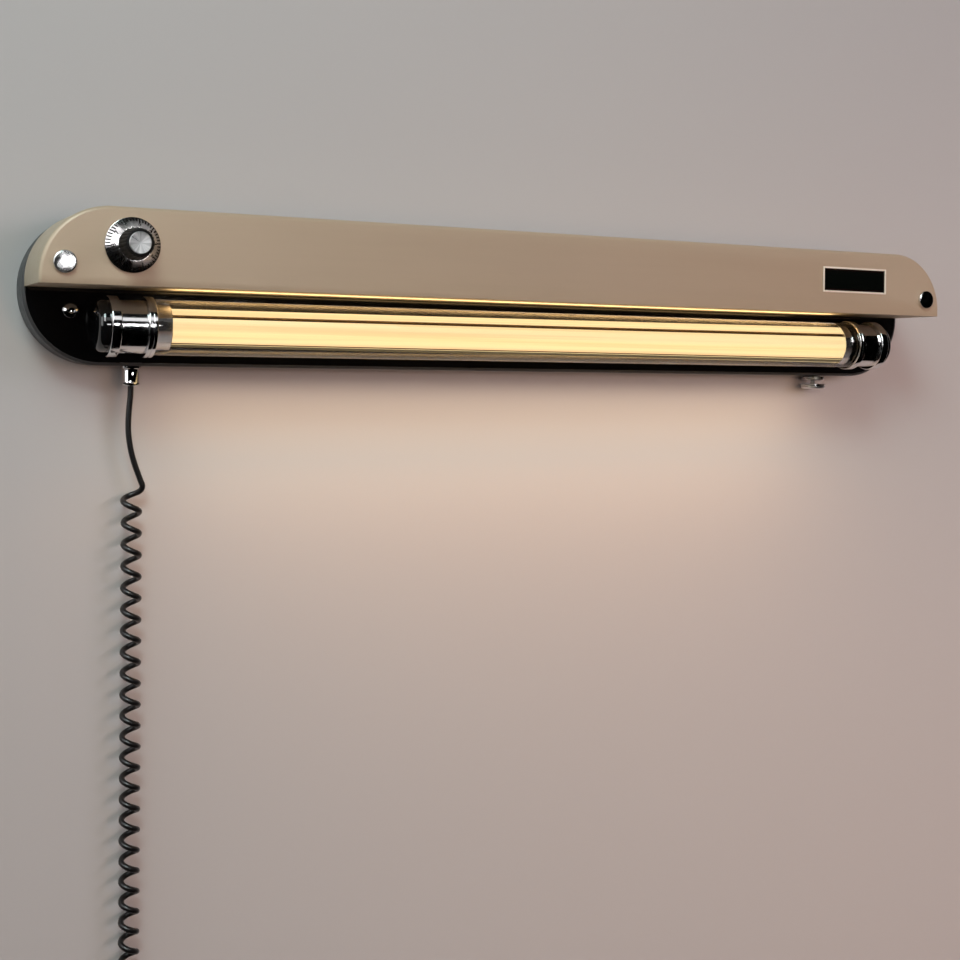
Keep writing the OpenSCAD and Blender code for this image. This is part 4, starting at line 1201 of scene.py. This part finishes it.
class LIGHT_OT_switch(bpy.types.Operator):
    """Makes the push switch's fixed disc and its moving button."""

    bl_idname = "wall_light.switch"
    bl_label = "Push switch"

    def execute(self, context):
        plating = chrome(context.scene.light_colours, "switch_chrome", 0.3)
        disc, button = Extent("switch_disc"), Extent("switch_button")
        centre = (disc.centre.x, disc.centre.y, 0)
        radius, base, top = disc.wide / 2, disc.z0, disc.z1
        bore, neck, bush = 2.05, 5.5, 4
        outline = [(bore, base)] + profile(
            radius, base, (0.5, 0), (0, 0.5), (0, 1.2), (0.4, 1.45), (0.4, 1.75), (0, 2), (0, 2.7),
            (0.5, 3.2))
        outline += [(neck, base + 3.2), (neck, base + 4.2), (bush, base + 4.2), (bush, top), (bore, top)]
        piece = soften(upright("switch_plate", outline, 96, centre), 0.12, 2)
        finished(piece, plating, "switch_disc", smooth=28)
        radius, base, tip, stem = button.wide / 2, button.z0, button.z1, 2
        outline = [(0, base + 0.25)] + profile(
            radius, base, (4, 0.2), (2.2, 0), (0.7, 0.4), (0, 1.1), (0, 1.7), (0.35, 1.95),
            (0.35, 2.45), (0, 2.7), (0, 4), (0.5, 4.5))
        outline += [(stem, base + 4.5), (stem, tip), (0, tip)]
        piece = soften(upright("switch_knob", outline, 96, centre), 0.12, 2)
        finished(piece, plating, "switch_button", "button", 28)
        return {"FINISHED"}


class LIGHT_OT_gland(bpy.types.Operator):
    """Makes the cord gland under the left end."""

    bl_idname = "wall_light.gland"
    bl_label = "Cord gland"

    def execute(self, context):
        plating = chrome(context.scene.light_colours, "gland_chrome", 0.06)
        body, cap = Extent("gland_body"), Extent("gland_cap")
        centre = (body.centre.x, body.centre.y, 0)
        seat, bore, stem, flange = cap.z1, 2.55, 5, 2
        outline = [(bore, body.z0), (stem, body.z0), (stem, seat)]
        outline += profile(body.wide / 2, seat, (0.3, 0), (0, 0.3), (0, flange - 0.3), (0.3, flange))
        outline += [(stem, seat + flange), (stem, body.z1), (bore, body.z1)]
        finished(upright("gland_stem", outline, 96, centre), plating, "gland_body", smooth=28)
        radius, foot, bore, thread = cap.wide / 2, cap.z0, 4.3, 5.05
        outline = [(bore, foot)] + profile(
            radius, foot, (0.7, 0), (0.2, 0.45), (0, 0.8), (0, 1.3), (0.3, 1.8), (0.7, 2.8))
        outline += profile(radius, seat, (0.7, -0.3), (1, 0))
        outline += [(thread, seat), (thread, foot + 6), (bore, foot + 6)]
        finished(upright("gland_sleeve", outline, 128, centre), plating, "gland_cap", smooth=28)
        return {"FINISHED"}


class LIGHT_OT_inside(bpy.types.Operator):
    """Gives the pieces inside the housing their finishes."""

    bl_idname = "wall_light.inside"
    bl_label = "Inner parts"

    def execute(self, context):
        dress(steel("zinc_steel", (0.46, 0.46, 0.47), 0.34),
              ("hood_posts", "foot_screws", "dimmer_nut", "switch_nut", "gland_locknut",
               "dimmer_pot", "dimmer_shaft", "knob_screw"))
        dress(steel("pin_brass", (0.55, 0.4, 0.15), 0.25), ("tube_pins",))
        for name, colour, rough, nodes in INNER_PARTS:
            dress(moulded(name, colour, rough), nodes)
        return {"FINISHED"}


STEPS = (LIGHT_OT_stage, LIGHT_OT_cord, LIGHT_OT_base, LIGHT_OT_hood, LIGHT_OT_dimmer,
         LIGHT_OT_display, LIGHT_OT_tube, LIGHT_OT_holders, LIGHT_OT_switch, LIGHT_OT_gland,
         LIGHT_OT_inside)


class LIGHT_PT_panel(bpy.types.Panel):
    """Lists the steps that build the light's looks."""

    bl_idname = "LIGHT_PT_panel"
    bl_label = "Wall light"
    bl_space_type = "VIEW_3D"
    bl_region_type = "UI"
    bl_category = "Wall light"

    def draw(self, context):
        for step in STEPS:
            self.layout.operator(step.bl_idname)
        for group in (context.scene.light_sizes, context.scene.light_colours):
            for name in group.bl_rna.properties.keys():
                if name not in ("rna_type", "name"):
                    self.layout.prop(group, name)


CLASSES = (LightSizes, LightColours, *STEPS, LIGHT_PT_panel)


def register():
    for each in CLASSES:
        bpy.utils.register_class(each)
    bpy.types.Scene.light_sizes = PointerProperty(type=LightSizes)
    bpy.types.Scene.light_colours = PointerProperty(type=LightColours)


def unregister():
    del bpy.types.Scene.light_colours
    del bpy.types.Scene.light_sizes
    for each in reversed(CLASSES):
        bpy.utils.unregister_class(each)


def main():
    register()
    for step in STEPS:
        group, name = step.bl_idname.split(".")
        getattr(getattr(bpy.ops, group), name)()


if __name__ == "__main__":
    main()
